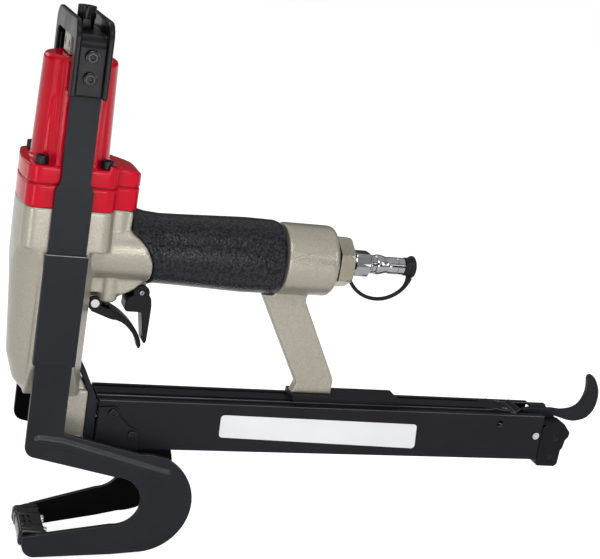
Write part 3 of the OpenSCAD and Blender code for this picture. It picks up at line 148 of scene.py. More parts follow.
middle = (0.08, 0.0, 0.10)
soft_box("box_left", (-0.62, -0.66, 0.14), middle, 0.28, 0.40, 2.5)
soft_box("box_front", (-0.95, -0.10, 0.35), middle, 0.3, 0.7, 1.8)
soft_box("box_above", (-0.10, -0.75, 1.00), middle, 0.6, 0.4, 6.5)
soft_box("box_right", (0.95, -0.75, 0.55), middle, 0.3, 0.6, 3.2)
soft_box("box_back", (-0.60, 0.95, 0.55), middle, 0.6, 0.4, 2.5)
soft_box("box_low", (0.14, -0.86, 0.15), (0.06, 0.0, 0.15), 0.40, 0.22, 2.0)
soft_box("strip_near", (0.070, -0.50, 0.135), (-0.005, 0.0, 0.20), 0.07, 0.09, 0.16)
soft_box("strip_high", (0.45, -0.92, 0.52), (0.12, 0.0, 0.124), 0.5, 0.07, 0.7)

floor_mesh = bpy.data.meshes.new("floor")
floor_half = 4.0
floor_mesh.from_pydata([(-floor_half, -floor_half, 0), (floor_half, -floor_half, 0),
                        (floor_half, floor_half, 0), (-floor_half, floor_half, 0)], [], [(0, 1, 2, 3)])
floor = bpy.data.objects.new("floor", floor_mesh)
scene.collection.objects.link(floor)
floor_gap = 0.0004
floor.location.z = cad_box[0][2] - floor_gap
floor_paint = bpy.data.materials.new("floor_paper")
floor_paint.use_nodes = True
floor_bsdf = floor_paint.node_tree.nodes["Principled BSDF"]
floor_bsdf.inputs["Base Color"].default_value = (0.6, 0.6, 0.6, 1.0)
floor_bsdf.inputs["Roughness"].default_value = 0.9
floor_bsdf.inputs["Emission Color"].default_value = (1.0, 1.0, 1.0, 1.0)
floor_glow = floor_paint.node_tree.nodes.new("ShaderNodeMath")
floor_glow.operation = "MULTIPLY"
floor_glow.inputs[1].default_value = 0.76
floor_paint.node_tree.links.new(seen_rays(floor_paint.node_tree), floor_glow.inputs[0])
floor_paint.node_tree.links.new(floor_glow.outputs[0], floor_bsdf.inputs["Emission Strength"])
floor_mesh.materials.append(floor_paint)

# Body casting: one aluminium casting for barrel, neck, handle core, strut and magazine foot.
# It is sand-blasted and sprayed a warm champagne grey, with soft cast edges and a fine sandy skin.
# The head is bolted on its deck and the rubber grip is pushed over its handle.


def surface_group():
    """Fine grain and broad patches on Object coordinates, for every paint and metal here."""
    group = bpy.data.node_groups.new("surface_grain", "ShaderNodeTree")
    for label, value in (("Grain Size", 900.0), ("Patch Size", 30.0), ("Pit Share", 0.3)):
        socket = group.interface.new_socket(label, in_out="INPUT", socket_type="NodeSocketFloat")
        socket.default_value = value
    for label in ("Height", "Grain", "Patch"):
        group.interface.new_socket(label, in_out="OUTPUT", socket_type="NodeSocketFloat")
    nodes, links = group.nodes, group.links
    taken = nodes.new("NodeGroupInput")
    given = nodes.new("NodeGroupOutput")
    place = nodes.new("ShaderNodeTexCoord")
    fine = nodes.new("ShaderNodeTexNoise")
    fine.inputs["Detail"].default_value = 3.0
    pits = nodes.new("ShaderNodeTexVoronoi")
    patch = nodes.new("ShaderNodeTexNoise")
    patch.inputs["Detail"].default_value = 4.0
    for node, size in ((fine, "Grain Size"), (pits, "Grain Size"), (patch, "Patch Size")):
        links.new(place.outputs["Object"], node.inputs["Vector"])
        links.new(taken.outputs[size], node.inputs["Scale"])
    both = nodes.new("ShaderNodeMix")
    links.new(taken.outputs["Pit Share"], both.inputs[0])
    links.new(fine.outputs["Fac"], both.inputs[2])
    links.new(pits.outputs["Distance"], both.inputs[3])
    soft = nodes.new("ShaderNodeMapRange")
    soft.inputs["From Min"].default_value = 0.35
    soft.inputs["From Max"].default_value = 0.65
    links.new(patch.outputs["Fac"], soft.inputs["Value"])
    crisp = nodes.new("ShaderNodeMapRange")
    crisp.inputs["From Min"].default_value = 0.38
    crisp.inputs["From Max"].default_value = 0.64
    links.new(fine.outputs["Fac"], crisp.inputs["Value"])
    links.new(both.outputs[0], given.inputs["Height"])
    links.new(crisp.outputs["Result"], given.inputs["Grain"])
    links.new(soft.outputs["Result"], given.inputs["Patch"])
    return group


grain_group = surface_group()


def finish(name, colour, shade, rough, spread=0.05, metal=0.0, grain=900.0, patch=30.0,
           pits=0.3, bump=0.1, depth=0.1, by_grain=False, specular=0.5):
    """A paint or metal whose colour and gloss drift between two tones over a fine grain."""
    made = bpy.data.materials.new(name)
    made.use_nodes = True
    nodes, links = made.node_tree.nodes, made.node_tree.links
    shader = nodes["Principled BSDF"]
    shader.inputs["Metallic"].default_value = metal
    shader.inputs["Specular IOR Level"].default_value = specular
    skin = nodes.new("ShaderNodeGroup")
    skin.node_tree = grain_group
    skin.inputs["Grain Size"].default_value = grain
    skin.inputs["Patch Size"].default_value = patch
    skin.inputs["Pit Share"].default_value = pits
    tone = nodes.new("ShaderNodeMix")
    tone.data_type = "RGBA"
    tone.inputs[6].default_value = (*colour, 1.0)
    tone.inputs[7].default_value = (*shade, 1.0)
    links.new(skin.outputs["Grain" if by_grain else "Patch"], tone.inputs[0])
    links.new(tone.outputs[2], shader.inputs["Base Color"])
    gloss = nodes.new("ShaderNodeMapRange")
    gloss.inputs["To Min"].default_value = rough - spread
    gloss.inputs["To Max"].default_value = rough + spread
    links.new(skin.outputs["Patch"], gloss.inputs["Value"])
    links.new(gloss.outputs["Result"], shader.inputs["Roughness"])
    if bump:
        relief = nodes.new("ShaderNodeBump")
        relief.inputs["Strength"].default_value = bump
        relief.inputs["Distance"].default_value = depth * MM
        links.new(skin.outputs["Height"], relief.inputs["Height"])
        links.new(relief.outputs["Normal"], shader.inputs["Normal"])
    return made


def copy_of(node, name):
    """A new object with a CAD node's outline, its loose triangles merged."""
    joined = bmesh.new()
    joined.from_mesh(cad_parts[node].data)
    bmesh.ops.remove_doubles(joined, verts=joined.verts, dist=2e-6)
    mesh = bpy.data.meshes.new(name)
    joined.verts.index_update()
    mesh.from_pydata([v.co[:] for v in joined.verts], [], [[v.index for v in f.verts] for f in joined.faces])
    joined.free()
    piece = bpy.data.objects.new(name, mesh)
    scene.collection.objects.link(piece)
    return piece


def settle(piece):
    """Turns the modifiers' result into the piece's own mesh."""
    graph = bpy.context.evaluated_depsgraph_get()
    mesh = bpy.data.meshes.new_from_object(piece.evaluated_get(graph))
    piece.modifiers.clear()
    piece.data = mesh
    return piece


def install(piece, body, slot, nodes, *paints):
    """Rides the piece on its body, in place of the CAD nodes it stands for."""
    for i, paint in enumerate(paints):
        if i == len(piece.data.materials):
            piece.data.materials.append(None)
        piece.data.materials[i] = paint
    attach(piece, body)
    if nodes:
        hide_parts(*nodes)
    return piece


def join(piece, other):
    """Adds another object's mesh to a piece and removes that object."""
    both = bmesh.new()
    both.from_mesh(piece.data)
    both.from_mesh(other.data)
    both.to_mesh(piece.data)
    both.free()
    bpy.data.objects.remove(other)
    return piece


def cast_skin(node, name, voxel, rounds, keep, lumps=(), cutter=None):
    """A casting's eased skin: the CAD outline and its lumps remeshed as one, smoothed, thinned and cut."""
    piece = copy_of(node, name)
    for lump in lumps:
        join(piece, lump)
    skin = piece.modifiers.new("skin", "REMESH")
    skin.mode = "VOXEL"
    skin.voxel_size = voxel * MM
    skin.use_smooth_shade = True
    ease = piece.modifiers.new("ease", "SMOOTH")
    ease.factor = 0.5
    ease.iterations = rounds
    thin = piece.modifiers.new("thin", "DECIMATE")
    thin.ratio = keep
    if cutter:
        cut = piece.modifiers.new("cut", "BOOLEAN")
        cut.operation = "DIFFERENCE"
        cut.object = cutter
    settle(piece)
    if cutter:
        bpy.data.objects.remove(cutter)
    piece.data.shade_smooth()
    return piece


def turned(name, rings, loop=False):
    """A body of rings, each a list of points with the same count, capped at both ends or closed to a loop."""
    count = len(rings[0])
    points = [p for ring in rings for p in ring]
    faces = []
    for i in range(len(rings) if loop else len(rings) - 1):
        n = (i + 1) % len(rings)
        for j in range(count):
            k = (j + 1) % count
            faces.append((i * count + j, i * count + k, n * count + k, n * count + j))
    if not loop:
        faces.append(tuple(range(count - 1, -1, -1)))
        faces.append(tuple((len(rings) - 1) * count + j for j in range(count)))
    mesh = bpy.data.meshes.new(name)
    mesh.from_pydata(points, [], faces)
    outward = bmesh.new()
    outward.from_mesh(mesh)
    bmesh.ops.recalc_face_normals(outward, faces=outward.faces)
    outward.to_mesh(mesh)
    outward.free()
    piece = bpy.data.objects.new(name, mesh)
    scene.collection.objects.link(piece)
    return piece


def boss(name, x, half_x, half_y, low, high, ease):
    """A cast boss with a rounded plan about (x, 0), its ends drawn in."""
    rings = []
    for z, inset in ((low, ease), (low + ease * 0.3, ease * 0.3), (low + ease, 0), (high - ease, 0),
                     (high - ease * 0.3, ease * 0.3), (high, ease)):
        ring = []
        for j in range(32):
            a = 2 * math.pi * j / 32
            side = (half_y - half_x) * (1 if math.sin(a) > 0 else -1)
            ring.append(((x + (half_x - inset) * math.cos(a)) * MM,
                         (side + (half_x - inset) * math.sin(a)) * MM, z * MM))
        rings.append(ring)
    return turned(name, rings)


def lug(name, outline, half_y):
    """A cast web with a side outline in millimetres, centred on the middle plane."""
    return turned(name, [[(x * MM, y * MM, z * MM) for x, z in outline] for y in (-half_y, half_y)])


champagne = finish("champagne_casting", (0.300, 0.281, 0.233), (0.240, 0.224, 0.184), 0.31, 0.04, metal=0.45,
                   grain=1500.0, patch=45.0, pits=0.5, bump=0.6, depth=0.16, by_grain=True, specular=0.4)
valve_x = 29.0
web_outline = [(32.0, 94.2), (35.2, 94.6), (52.6, 103.8), (54.0, 106.0), (54.0, 112.0), (32.0, 112.0)]
bosses = [boss("valve_boss", valve_x, half_x=5.8, half_y=11.6, low=92.8, high=113.0, ease=2.0),
          lug("lock_web", web_outline, half_y=4.5)]
blade_play = 0.0004
blade_low, blade_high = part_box("driver_blade")
slot_front, slot_rear = blade_low.x - blade_play, blade_high.x + blade_play
slot_near, slot_far = blade_low.y - blade_play, blade_high.y + blade_play
slot_plan = ((slot_front, slot_near), (slot_rear, slot_near), (slot_rear, slot_far), (slot_front, slot_far))
blade_path = [[(x, y, z) for x, y in slot_plan] for z in (0.0, blade_high.z)]
body = cast_skin("body_casting", "body", voxel=0.7, rounds=6, keep=0.42, lumps=bosses,
                 cutter=turned("blade_slot", blade_path))
install(body, "frame", "cast_beige", ["body_casting"], champagne)

# Driver: a honed steel liner with two O-rings holds the driver piston and its blade.
# A rubber bumper at its foot stops the piston; all of it is shut inside the casting.
honed_steel = finish("honed_steel", (0.60, 0.60, 0.62), (0.52, 0.52, 0.54), 0.28, metal=1.0, grain=2000.0,
                     bump=0.05)
turned_alloy = finish("turned_alloy", (0.70, 0.70, 0.72), (0.62, 0.62, 0.64), 0.32, metal=1.0, grain=1800.0,
                      bump=0.05)
black_rubber = finish("black_rubber", (0.003, 0.003, 0.004), (0.006, 0.006, 0.007), 0.40, grain=1500.0,
                      bump=0.15, specular=0.14)


def dress(node, paint):
    """A CAD node whose shape is right keeps it and takes a finish."""
    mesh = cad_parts[node].data
    mesh.materials.clear()
    mesh.materials.append(paint)


for node, paint in (("driver_cylinder", honed_steel), ("driver_blade", honed_steel),
                    ("driver_piston", turned_alloy), ("driver_seal", black_rubber),
                    ("cylinder_seals", black_rubber), ("driver_bumper", black_rubber)):
    dress(node, paint)

# Head: a red enamelled base and a cap that holds the clinch cylinder, with a thin gasket between.
# Both are gloss-sprayed castings; the cap's tube tapers and has a flat on each side for the straps.
enamel = finish("red_enamel", (0.47, 0.001, 0.016), (0.37, 0.001, 0.010), 0.17, 0.03, grain=420.0, patch=22.0,
                pits=0.1, bump=0.16, depth=0.3, specular=0.12)
head_cap = cast_skin("head_cap", "cap_casting", voxel=0.6, rounds=6, keep=0.45)
install(head_cap, "frame", "enamel_red", ["head_cap"], enamel)
head_base = cast_skin("head_base", "head_casting", voxel=0.6, rounds=5, keep=0.45)
install(head_base, "frame", "enamel_red", ["head_base"], enamel)
gasket_red = finish("painted_gasket", (0.20, 0.001, 0.006), (0.15, 0.001, 0.004), 0.5, grain=900.0, bump=0.1,
                    specular=0.2)
dress("head_gasket", gasket_red)
bush_bronze = finish("bush_bronze", (0.40, 0.30, 0.13), (0.34, 0.25, 0.11), 0.35, metal=1.0, bump=0.05)
dress("rod_bush", bush_bronze)

# Socket screws: black-oxide cap screws with knurled heads and hexagon sockets.
# Four hold the head, four the yoke, four the nose, four the wings and two the strut's foot.
black_oxide = finish("black_oxide", (0.003, 0.003, 0.004), (0.006, 0.006, 0.007), 0.30, 0.06, grain=2400.0,
                     bump=0.08, specular=0.18)


def round_ring(radius, z, count, ripple=0.0):
    """A ring about Z; a ripple gives it the teeth of a knurl."""
    ring = []
    for j in range(count):
        a = 2 * math.pi * j / count
        r = radius - ripple * (j % 2)
        ring.append((r * math.cos(a) * MM, r * math.sin(a) * MM, z * MM))
    return ring


def hex_ring(flats, z, count, limit=99.0):
    """A hexagon about Z, its corners cut back to a limit radius."""
    ring = []
    for j in range(count):
        a = 2 * math.pi * j / count
        r = min(limit, flats / 2 / math.cos((a + math.pi / 6) % (math.pi / 3) - math.pi / 6))
        ring.append((r * math.cos(a) * MM, r * math.sin(a) * MM, z * MM))
    return ring


def cap_screw(name, shank, length, head, height):
    """One screw along -Z with its head's seat at zero."""
    count = 48
    key = head * 0.95
    tooth = head * 0.035
    rings = [round_ring(shank * 0.7, -length, count), round_ring(shank, -length + shank * 0.4, count),
             round_ring(shank, 0, count), round_ring(head - 0.15, 0, count, tooth),
             round_ring(head, 0.2, count, tooth), round_ring(head, height - 0.35, count, tooth),
             round_ring(head - 0.12, height - 0.1, count), round_ring(head - 0.4, height, count),
             hex_ring(key + 0.25, height, count), hex_ring(key, height - 0.2, count),
             hex_ring(key, height * 0.42, count), round_ring(key * 0.2, height * 0.34, count)]
    return turned(name, rings)


def place_tree():
    """Sets a master piece on every point, turned to the point's axis."""
    tree = bpy.data.node_groups.new("set_on_points", "GeometryNodeTree")
    tree.interface.new_socket("Geometry", in_out="INPUT", socket_type="NodeSocketGeometry")
    tree.interface.new_socket("Master", in_out="INPUT", socket_type="NodeSocketObject")
    tree.interface.new_socket("Finish", in_out="INPUT", socket_type="NodeSocketMaterial")
    tree.interface.new_socket("Geometry", in_out="OUTPUT", socket_type="NodeSocketGeometry")
    nodes, links = tree.nodes, tree.links
    taken = nodes.new("NodeGroupInput")
    given = nodes.new("NodeGroupOutput")
    master = nodes.new("GeometryNodeObjectInfo")
    master.inputs["As Instance"].default_value = True
    axis = nodes.new("GeometryNodeInputNamedAttribute")
    axis.data_type = "FLOAT_VECTOR"
    axis.inputs["Name"].default_value = "axis"
    turn = nodes.new("FunctionNodeAlignRotationToVector")
    turn.axis = "Z"
    points = nodes.new("GeometryNodeMeshToPoints")
    spread = nodes.new("GeometryNodeInstanceOnPoints")
    real = nodes.new("GeometryNodeRealizeInstances")
    paint = nodes.new("GeometryNodeSetMaterial")
    links.new(taken.outputs["Geometry"], points.inputs["Mesh"])
    links.new(taken.outputs["Master"], master.inputs["Object"])
    links.new(axis.outputs["Attribute"], turn.inputs["Vector"])
    links.new(points.outputs["Points"], spread.inputs["Points"])
    links.new(master.outputs["Geometry"], spread.inputs["Instance"])
    links.new(turn.outputs["Rotation"], spread.inputs["Rotation"])
    links.new(spread.outputs["Instances"], real.inputs["Geometry"])
    links.new(real.outputs["Geometry"], paint.inputs["Geometry"])
    links.new(taken.outputs["Finish"], paint.inputs["Material"])
    links.new(paint.outputs["Geometry"], given.inputs["Geometry"])
    return tree


screw_tree = place_tree()


def set_input(modifier, tree, label, value):
    """A modifier's input is set by its socket's identifier."""
    for item in tree.interface.items_tree:
        if item.item_type == "SOCKET" and item.in_out == "INPUT" and item.name == label:
            modifier[item.identifier] = value


def smooth_by_angle(piece, degrees):
    """Smooth shading, with edges sharper than an angle left crisp."""
    piece.data.shade_smooth()
    piece.data.set_sharp_from_angle(angle=math.radians(degrees))


def set_on_points(name, master, places, paint):
    """Copies of a master at (place, axis) pairs in millimetres, as one mesh."""
    mesh = bpy.data.meshes.new(name)
    mesh.from_pydata([tuple(c * MM for c in place) for place, axis in places], [], [])
    attribute = mesh.attributes.new("axis", "FLOAT_VECTOR", "POINT")
    for i, (place, axis) in enumerate(places):
        attribute.data[i].vector = axis
    piece = bpy.data.objects.new(name, mesh)
    scene.collection.objects.link(piece)
    grow = piece.modifiers.new("set", "NODES")
    grow.node_group = screw_tree
    set_input(grow, screw_tree, "Master", master)
    set_input(grow, screw_tree, "Finish", paint)
    settle(piece)
    smooth_by_angle(piece, 32)
    bpy.data.objects.remove(master)
    return piece


def socket_rim(name, head, height):
    """A thin ring round a screw head's edge and its socket, in brighter worn steel that also stands in as a
    painted glint.
    """
    count = 48
    key = head * 0.95
    rim = [round_ring(head - inset, height + rise, count) for inset, rise in (
        (0.04, -0.40), (0.06, -0.1), (0.36, 0.03), (0.5, -0.2))]
    edge = [hex_ring(key + grow, height + rise, count) for grow, rise in (
        (0.45, 0.02), (0.1, 0.02), (-0.02, -0.5), (0.3, -0.5))]
    piece = turned(name, rim, loop=True)
    socket = turned(name + "_socket", edge, loop=True)
    return join(piece, socket)


# Worn edge and painted glint: a brighter metal for the rings on the yoke screws' heads and sockets.
worn_glint_steel = finish("worn_glint_steel", (0.06, 0.06, 0.065), (0.02, 0.02, 0.022), 0.26, 0.08, metal=1.0,
                    grain=2400.0, bump=0.05)
flange_top, deck, head_bite = 170.8, 148.0, 11
head_x, head_y = 17.6, 18.0
head_places = [((sx * head_x, sy * head_y, flange_top), (0, 0, 1)) for sx in (-1, 1) for sy in (-1, 1)]
head_master = cap_screw("head_screw", shank=2.0, length=flange_top - deck + head_bite, head=3.6, height=4.5)
install(set_on_points("head_cap_screws", head_master, head_places, black_oxide),
        "frame", "black_screw", ["head_screws"])
yoke_face, yoke_heights = 31.4, (219.9, 231.3)
yoke_head, yoke_rise = 3.6, 2.6
yoke_places = [((0, s * yoke_face, z), (0, s, 0)) for s in (-1, 1) for z in yoke_heights]
yoke_master = cap_screw("yoke_screw", shank=2.5, length=5.7, head=yoke_head, height=yoke_rise)
install(set_on_points("yoke_cap_screws", yoke_master, yoke_places, black_oxide),
        "clinch_arms", "black_screw", ["yoke_screws"])
rim_master = socket_rim("yoke_rim", yoke_head, yoke_rise)
install(set_on_points("yoke_screw_rims", rim_master, yoke_places, worn_glint_steel),
        "clinch_arms", "black_screw", [])
wing_face, wing_spots = 15.8, ((39.3, 29.0), (52.0, 15.8))
wing_places = [((x, s * wing_face, z), (0, s, 0)) for s in (-1, 1) for x, z in wing_spots]
wing_master = cap_screw("wing_screw", shank=1.3, length=3.3, head=2.6, height=1.6)
install(set_on_points("wing_cap_screws", wing_master, wing_places, black_oxide),
        "magazine", "black_screw", ["wing_screws"])
dress("nose_screws", black_oxide)
dress("strut_screws", black_oxide)

# Clinch cylinder's insides: a cup piston with its seal and rod, and the coil spring that returns it.
# The spring is wound steel wire; in the tool it is squeezed as the piston lifts the arms, while here it keeps
# its CAD length and rides the frame.
for node, paint in (("piston_rod", honed_steel), ("clinch_piston", turned_alloy),
                    ("clinch_seal", black_rubber)):
    dress(node, paint)
spring_steel = finish("spring_steel", (0.42, 0.42, 0.44), (0.34, 0.34, 0.36), 0.3, metal=1.0, bump=0.05)


def coil_tree():
    """A helix along Z swept by a round wire."""
    tree = bpy.data.node_groups.new("wound_coil", "GeometryNodeTree")
    tree.interface.new_socket("Geometry", in_out="INPUT", socket_type="NodeSocketGeometry")
    for label in ("Turns", "Radius", "Height", "Wire"):
        tree.interface.new_socket(label, in_out="INPUT", socket_type="NodeSocketFloat")
    tree.interface.new_socket("Steps", in_out="INPUT", socket_type="NodeSocketInt")
    tree.interface.new_socket("Finish", in_out="INPUT", socket_type="NodeSocketMaterial")
    tree.interface.new_socket("Geometry", in_out="OUTPUT", socket_type="NodeSocketGeometry")
    nodes, links = tree.nodes, tree.links
    taken = nodes.new("NodeGroupInput")
    given = nodes.new("NodeGroupOutput")
    helix = nodes.new("GeometryNodeCurveSpiral")
    wire = nodes.new("GeometryNodeCurvePrimitiveCircle")
    wire.inputs["Resolution"].default_value = 10
    sweep = nodes.new("GeometryNodeCurveToMesh")
    sweep.inputs["Fill Caps"].default_value = True
    real = nodes.new("GeometryNodeRealizeInstances")
    paint = nodes.new("GeometryNodeSetMaterial")
    links.new(taken.outputs["Steps"], helix.inputs["Resolution"])
    links.new(taken.outputs["Turns"], helix.inputs["Rotations"])
    links.new(taken.outputs["Radius"], helix.inputs["Start Radius"])
    links.new(taken.outputs["Radius"], helix.inputs["End Radius"])
    links.new(taken.outputs["Height"], helix.inputs["Height"])
    links.new(taken.outputs["Wire"], wire.inputs["Radius"])
    links.new(helix.outputs["Curve"], sweep.inputs["Curve"])
    links.new(wire.outputs["Curve"], sweep.inputs["Profile Curve"])
    links.new(sweep.outputs["Mesh"], real.inputs["Geometry"])
    links.new(real.outputs["Geometry"], paint.inputs["Geometry"])
    links.new(taken.outputs["Finish"], paint.inputs["Material"])
    links.new(paint.outputs["Geometry"], given.inputs["Geometry"])
    return tree


spring_tree = coil_tree()


def wound_spring(name, turns, radius, height, wire, steps, place, along_x=False):
    """A coil of given millimetre sizes, set with its lower end at a place."""
    piece = bpy.data.objects.new(name, bpy.data.meshes.new(name))
    scene.collection.objects.link(piece)
    wind = piece.modifiers.new("wind", "NODES")
    wind.node_group = spring_tree
    for label, value in (("Turns", turns), ("Radius", radius * MM), ("Height", (height - 2 * wire) * MM),
                         ("Wire", wire * MM)):
        set_input(wind, spring_tree, label, float(value))
    set_input(wind, spring_tree, "Steps", steps)
    set_input(wind, spring_tree, "Finish", spring_steel)
    settle(piece)
    move = Matrix.Translation((0, 0, wire * MM))
    if along_x:
        move = Matrix.Rotation(math.pi / 2, 4, "Y") @ move
    piece.data.transform(Matrix.Translation([c * MM for c in place]) @ move)
    piece.data.shade_smooth()
    return piece


clinch_low, clinch_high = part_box("clinch_spring")
clinch_spring = wound_spring("return_spring", turns=5, radius=10.6, wire=1.2, steps=24,
                             height=(clinch_high.z - clinch_low.z) / MM, place=(0, 0, clinch_low.z / MM))
install(clinch_spring, "frame", "bright_steel", ["clinch_spring"])
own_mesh(clinch_spring)

# Yoke: a bent steel bridge over the cap, screwed to the straps and lifted by the piston's rod.
# It is blackened, a little glossier than the straps, with rounded bends and two turned-up flanges.
yoke_black = finish("yoke_black", (0.002, 0.002, 0.003), (0.004, 0.004, 0.005), 0.34, 0.04, grain=700.0,
                    patch=60.0, bump=0.12, depth=0.15, specular=0.13)
upward, sideways = 0.3, 0.9


def eased(node, name, width, steps=2, smooth=38, crown=None, shape=None):
    """A plate or block with the CAD outline and eased edges, whose upward-facing ones take the second finish;
    where that finish is lighter it is a painted highlight on the upper edges.
    The faces that crown names are raised as pressed beads are; a shape moves the outline's points first."""
    piece = copy_of(node, name)
    flat = bmesh.new()
    flat.from_mesh(piece.data)
    if shape:
        for v in flat.verts:
            v.co = Vector(shape(*(c / MM for c in v.co))) * MM
        bmesh.ops.remove_doubles(flat, verts=flat.verts, dist=1e-5)
    bmesh.ops.dissolve_limit(flat, angle_limit=math.radians(0.6), verts=flat.verts, edges=flat.edges)
    if crown:
        low_area, high_area, steps_up = crown
        tops = [f for f in flat.faces
                if low_area < f.calc_area() / MM ** 2 < high_area and abs(f.normal.y) > sideways]
        for draw, rise in steps_up:
            bmesh.ops.inset_individual(flat, faces=tops, thickness=draw * MM, depth=rise * MM,
                                       use_even_offset=True)
    flat.to_mesh(piece.data)
    flat.free()
    ease = piece.modifiers.new("ease", "BEVEL")
    ease.width = width * MM
    ease.segments = steps
    ease.limit_method = "ANGLE"
    ease.angle_limit = math.radians(32)
    ease.use_clamp_overlap = False
    ease.material = 1
    piece.data.materials.append(None)
    piece.data.materials.append(None)
    settle(piece)
    # Only upward-facing bevels keep the second finish; where it is lighter, that is a painted highlight on
    # the upper edges.
    for face in piece.data.polygons:
        if face.normal.z < upward:
            face.material_index = 0
    smooth_by_angle(piece, smooth)
    even = piece.modifiers.new("even", "WEIGHTED_NORMAL")
    even.keep_sharp = True
    return settle(piece)


install(eased("yoke", "yoke_bridge", width=0.9, steps=3), "clinch_arms", "black_steel", ["yoke"],
        yoke_black, yoke_black)
install(eased("rod_end", "rod_end_block", width=0.5), "clinch_arms", "cast_beige", ["rod_end"],
        champagne, champagne)
adjuster_head = 6.5
adjuster_low, adjuster_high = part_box("adjusting_screw")
adjuster_seat = adjuster_high.z / MM - adjuster_head
adjuster = cap_screw("adjuster_screw", shank=3.0, length=adjuster_seat - adjuster_low.z / MM, head=5.0,
                     height=adjuster_head)
adjuster.data.transform(Matrix.Translation((0, 0, adjuster_seat * MM)))
smooth_by_angle(adjuster, 32)
install(adjuster, "clinch_arms", "black_screw", ["adjusting_screw"], black_oxide)
install(eased("lock_nut", "adjuster_nut", width=0.4), "clinch_arms", "black_steel", ["lock_nut"],
        black_oxide, black_oxide)

# Arms and guides: steel plate cut to a strap and a C-shaped hook, and folded channels that hold the straps.
# The plates are satin charcoal outside, and their inward faces take a darker black as painted shade; the
# guides' upward-facing edges take a lighter finish as a painted highlight.
# A pressed bead stiffens each lower arm; its upward-facing flank takes a lighter charcoal as a painted
# highlight.
charcoal = finish("satin_charcoal", (0.0055, 0.006, 0.009), (0.008, 0.009, 0.012), 0.42, 0.05, grain=1600.0,
                  patch=25.0, bump=0.12, depth=0.06, specular=0.14)
# Painted highlight: a lighter, glossier charcoal for the bead's upward-facing flank.
bead_highlight_charcoal = finish("bead_highlight_charcoal", (0.017, 0.018, 0.022), (0.010, 0.011, 0.014), 0.36, 0.05,
                         grain=1600.0, patch=60.0, bump=0.1, depth=0.06, specular=0.3)
# Painted shade: a darker, almost unreflecting black for the arms' inward faces.
inner_shade_black = finish("inner_shade_black", (0.002, 0.002, 0.0025), (0.003, 0.003, 0.0035), 0.5, 0.05, grain=1600.0,
                     bump=0.1, specular=0.02)
# Painted highlight: a lighter half-metal finish that only the upward-facing bevels of the guides take.
upper_edge_highlight = finish("upper_edge_highlight", (0.20, 0.20, 0.205), (0.12, 0.12, 0.125), 0.34, 0.08, metal=0.5, grain=1500.0,
                   bump=0.05)
bead_rise, bead_edge = 0.9, 2.7
bead_foot, bead_back = 3.2, 2.2
bead_area, bead_steps = (300, 480), ((0.5, 0.25), (0.7, 0.15))
inward, flank = 0.85, 0.12
arm_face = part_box("right_arm")[1].y / MM - bead_rise
bead_line = (Vector((-3.0, 15.8)), Vector((9.0, 14.6)), Vector((72.0, -3.4)))
bead_bend = bead_line[1]
bead_side = Vector((0.188, 0.982))


def soft_bead(x, y, z):
    """The pressed bead's foot spreads into the plate and its sides lean in to a round back."""
    if abs(y) > arm_face - 0.05:
        here = Vector((x, z))
        feet = []
        for start, stop in zip(bead_line, bead_line[1:]):
            along = stop - start
            run = min(max((here - start).dot(along) / along.length_squared, 0.0), 1.0)
            feet.append(start + along * run)
        foot = min(feet, key=lambda f: (here - f).length)
        away = here - foot
        if 1.0 < away.length < bead_edge:
            if (here - bead_bend).length < bead_edge:
                foot = bead_bend
                away = bead_side if away.dot(bead_side) > 0 else -bead_side
            x, z = foot + away.normalized() * (bead_foot if abs(y) < arm_face + 0.1 else bead_back)
    return x, y, z


for side in ("left", "right"):
    guide = eased(side + "_guide", side + "_strap_guide", width=0.45)
    install(guide, "frame", "black_steel", [side + "_guide"], charcoal, upper_edge_highlight)
    arm = eased(side + "_arm", side + "_clinch_arm", width=0.35, crown=(*bead_area, bead_steps),
                shape=soft_bead)
    outer = max(arm.data.vertices, key=lambda v: abs(v.co.y)).co.y
    # Inward-facing faces take the darker black as painted shade.
    for face in arm.data.polygons:
        if face.normal.y * outer < -inward * abs(outer):
            face.material_index = 2
        # The bead's upward-facing faces take the lighter charcoal as a painted highlight.
        elif abs(face.center.y) > (arm_face + 0.03) * MM and face.normal.z > flank:
            face.material_index = 1
    install(arm, "clinch_arms", "black_steel", [side + "_arm"], charcoal, bead_highlight_charcoal, inner_shade_black)

# Anvil: a stack of hardened plates between the arms' tips, whose two pairs of grooves turn the legs in.
# The plates are ground black and glossy, with rounded noses. Two bright screws hold the stack from behind.
jaw_black = finish("jaw_black", (0.0015, 0.0015, 0.002), (0.003, 0.003, 0.0035), 0.22, 0.05, grain=1500.0,
                   bump=0.1, specular=0.3)
anvil_points = [v.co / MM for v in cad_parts["anvil"].data.vertices]
anvil_front, anvil_rear = min(p.x for p in anvil_points), max(p.x for p in anvil_points)
anvil_low, anvil_top = min(p.z for p in anvil_points), max(p.z for p in anvil_points)
front_half = max(p.y for p in anvil_points if p.x < anvil_front + 0.1)
rear_half = max(p.y for p in anvil_points if p.x > anvil_rear - 0.1)
rear_round, nose_round, jaw_play = 1.0, 2.4, 0.05
plate_gap, plate_ease, plate_inset = 0.005, 0.05, 0.7
jaw_plates = ((-1.0, -0.74, 0.9, 1.3), (-0.74, -0.42, 0.3, 0.9), (-0.42, 0.42, 0.0, 0.5),
              (0.42, 0.74, 0.3, 0.9), (0.74, 1.0, 0.9, 1.3))
groove_x, groove_y, groove_up = 1.6, 3.1, 2.8
groove_round, groove_half = 4.4, 0.7
jaw_screw_y, jaw_screw_drop = 7.5, 3.6


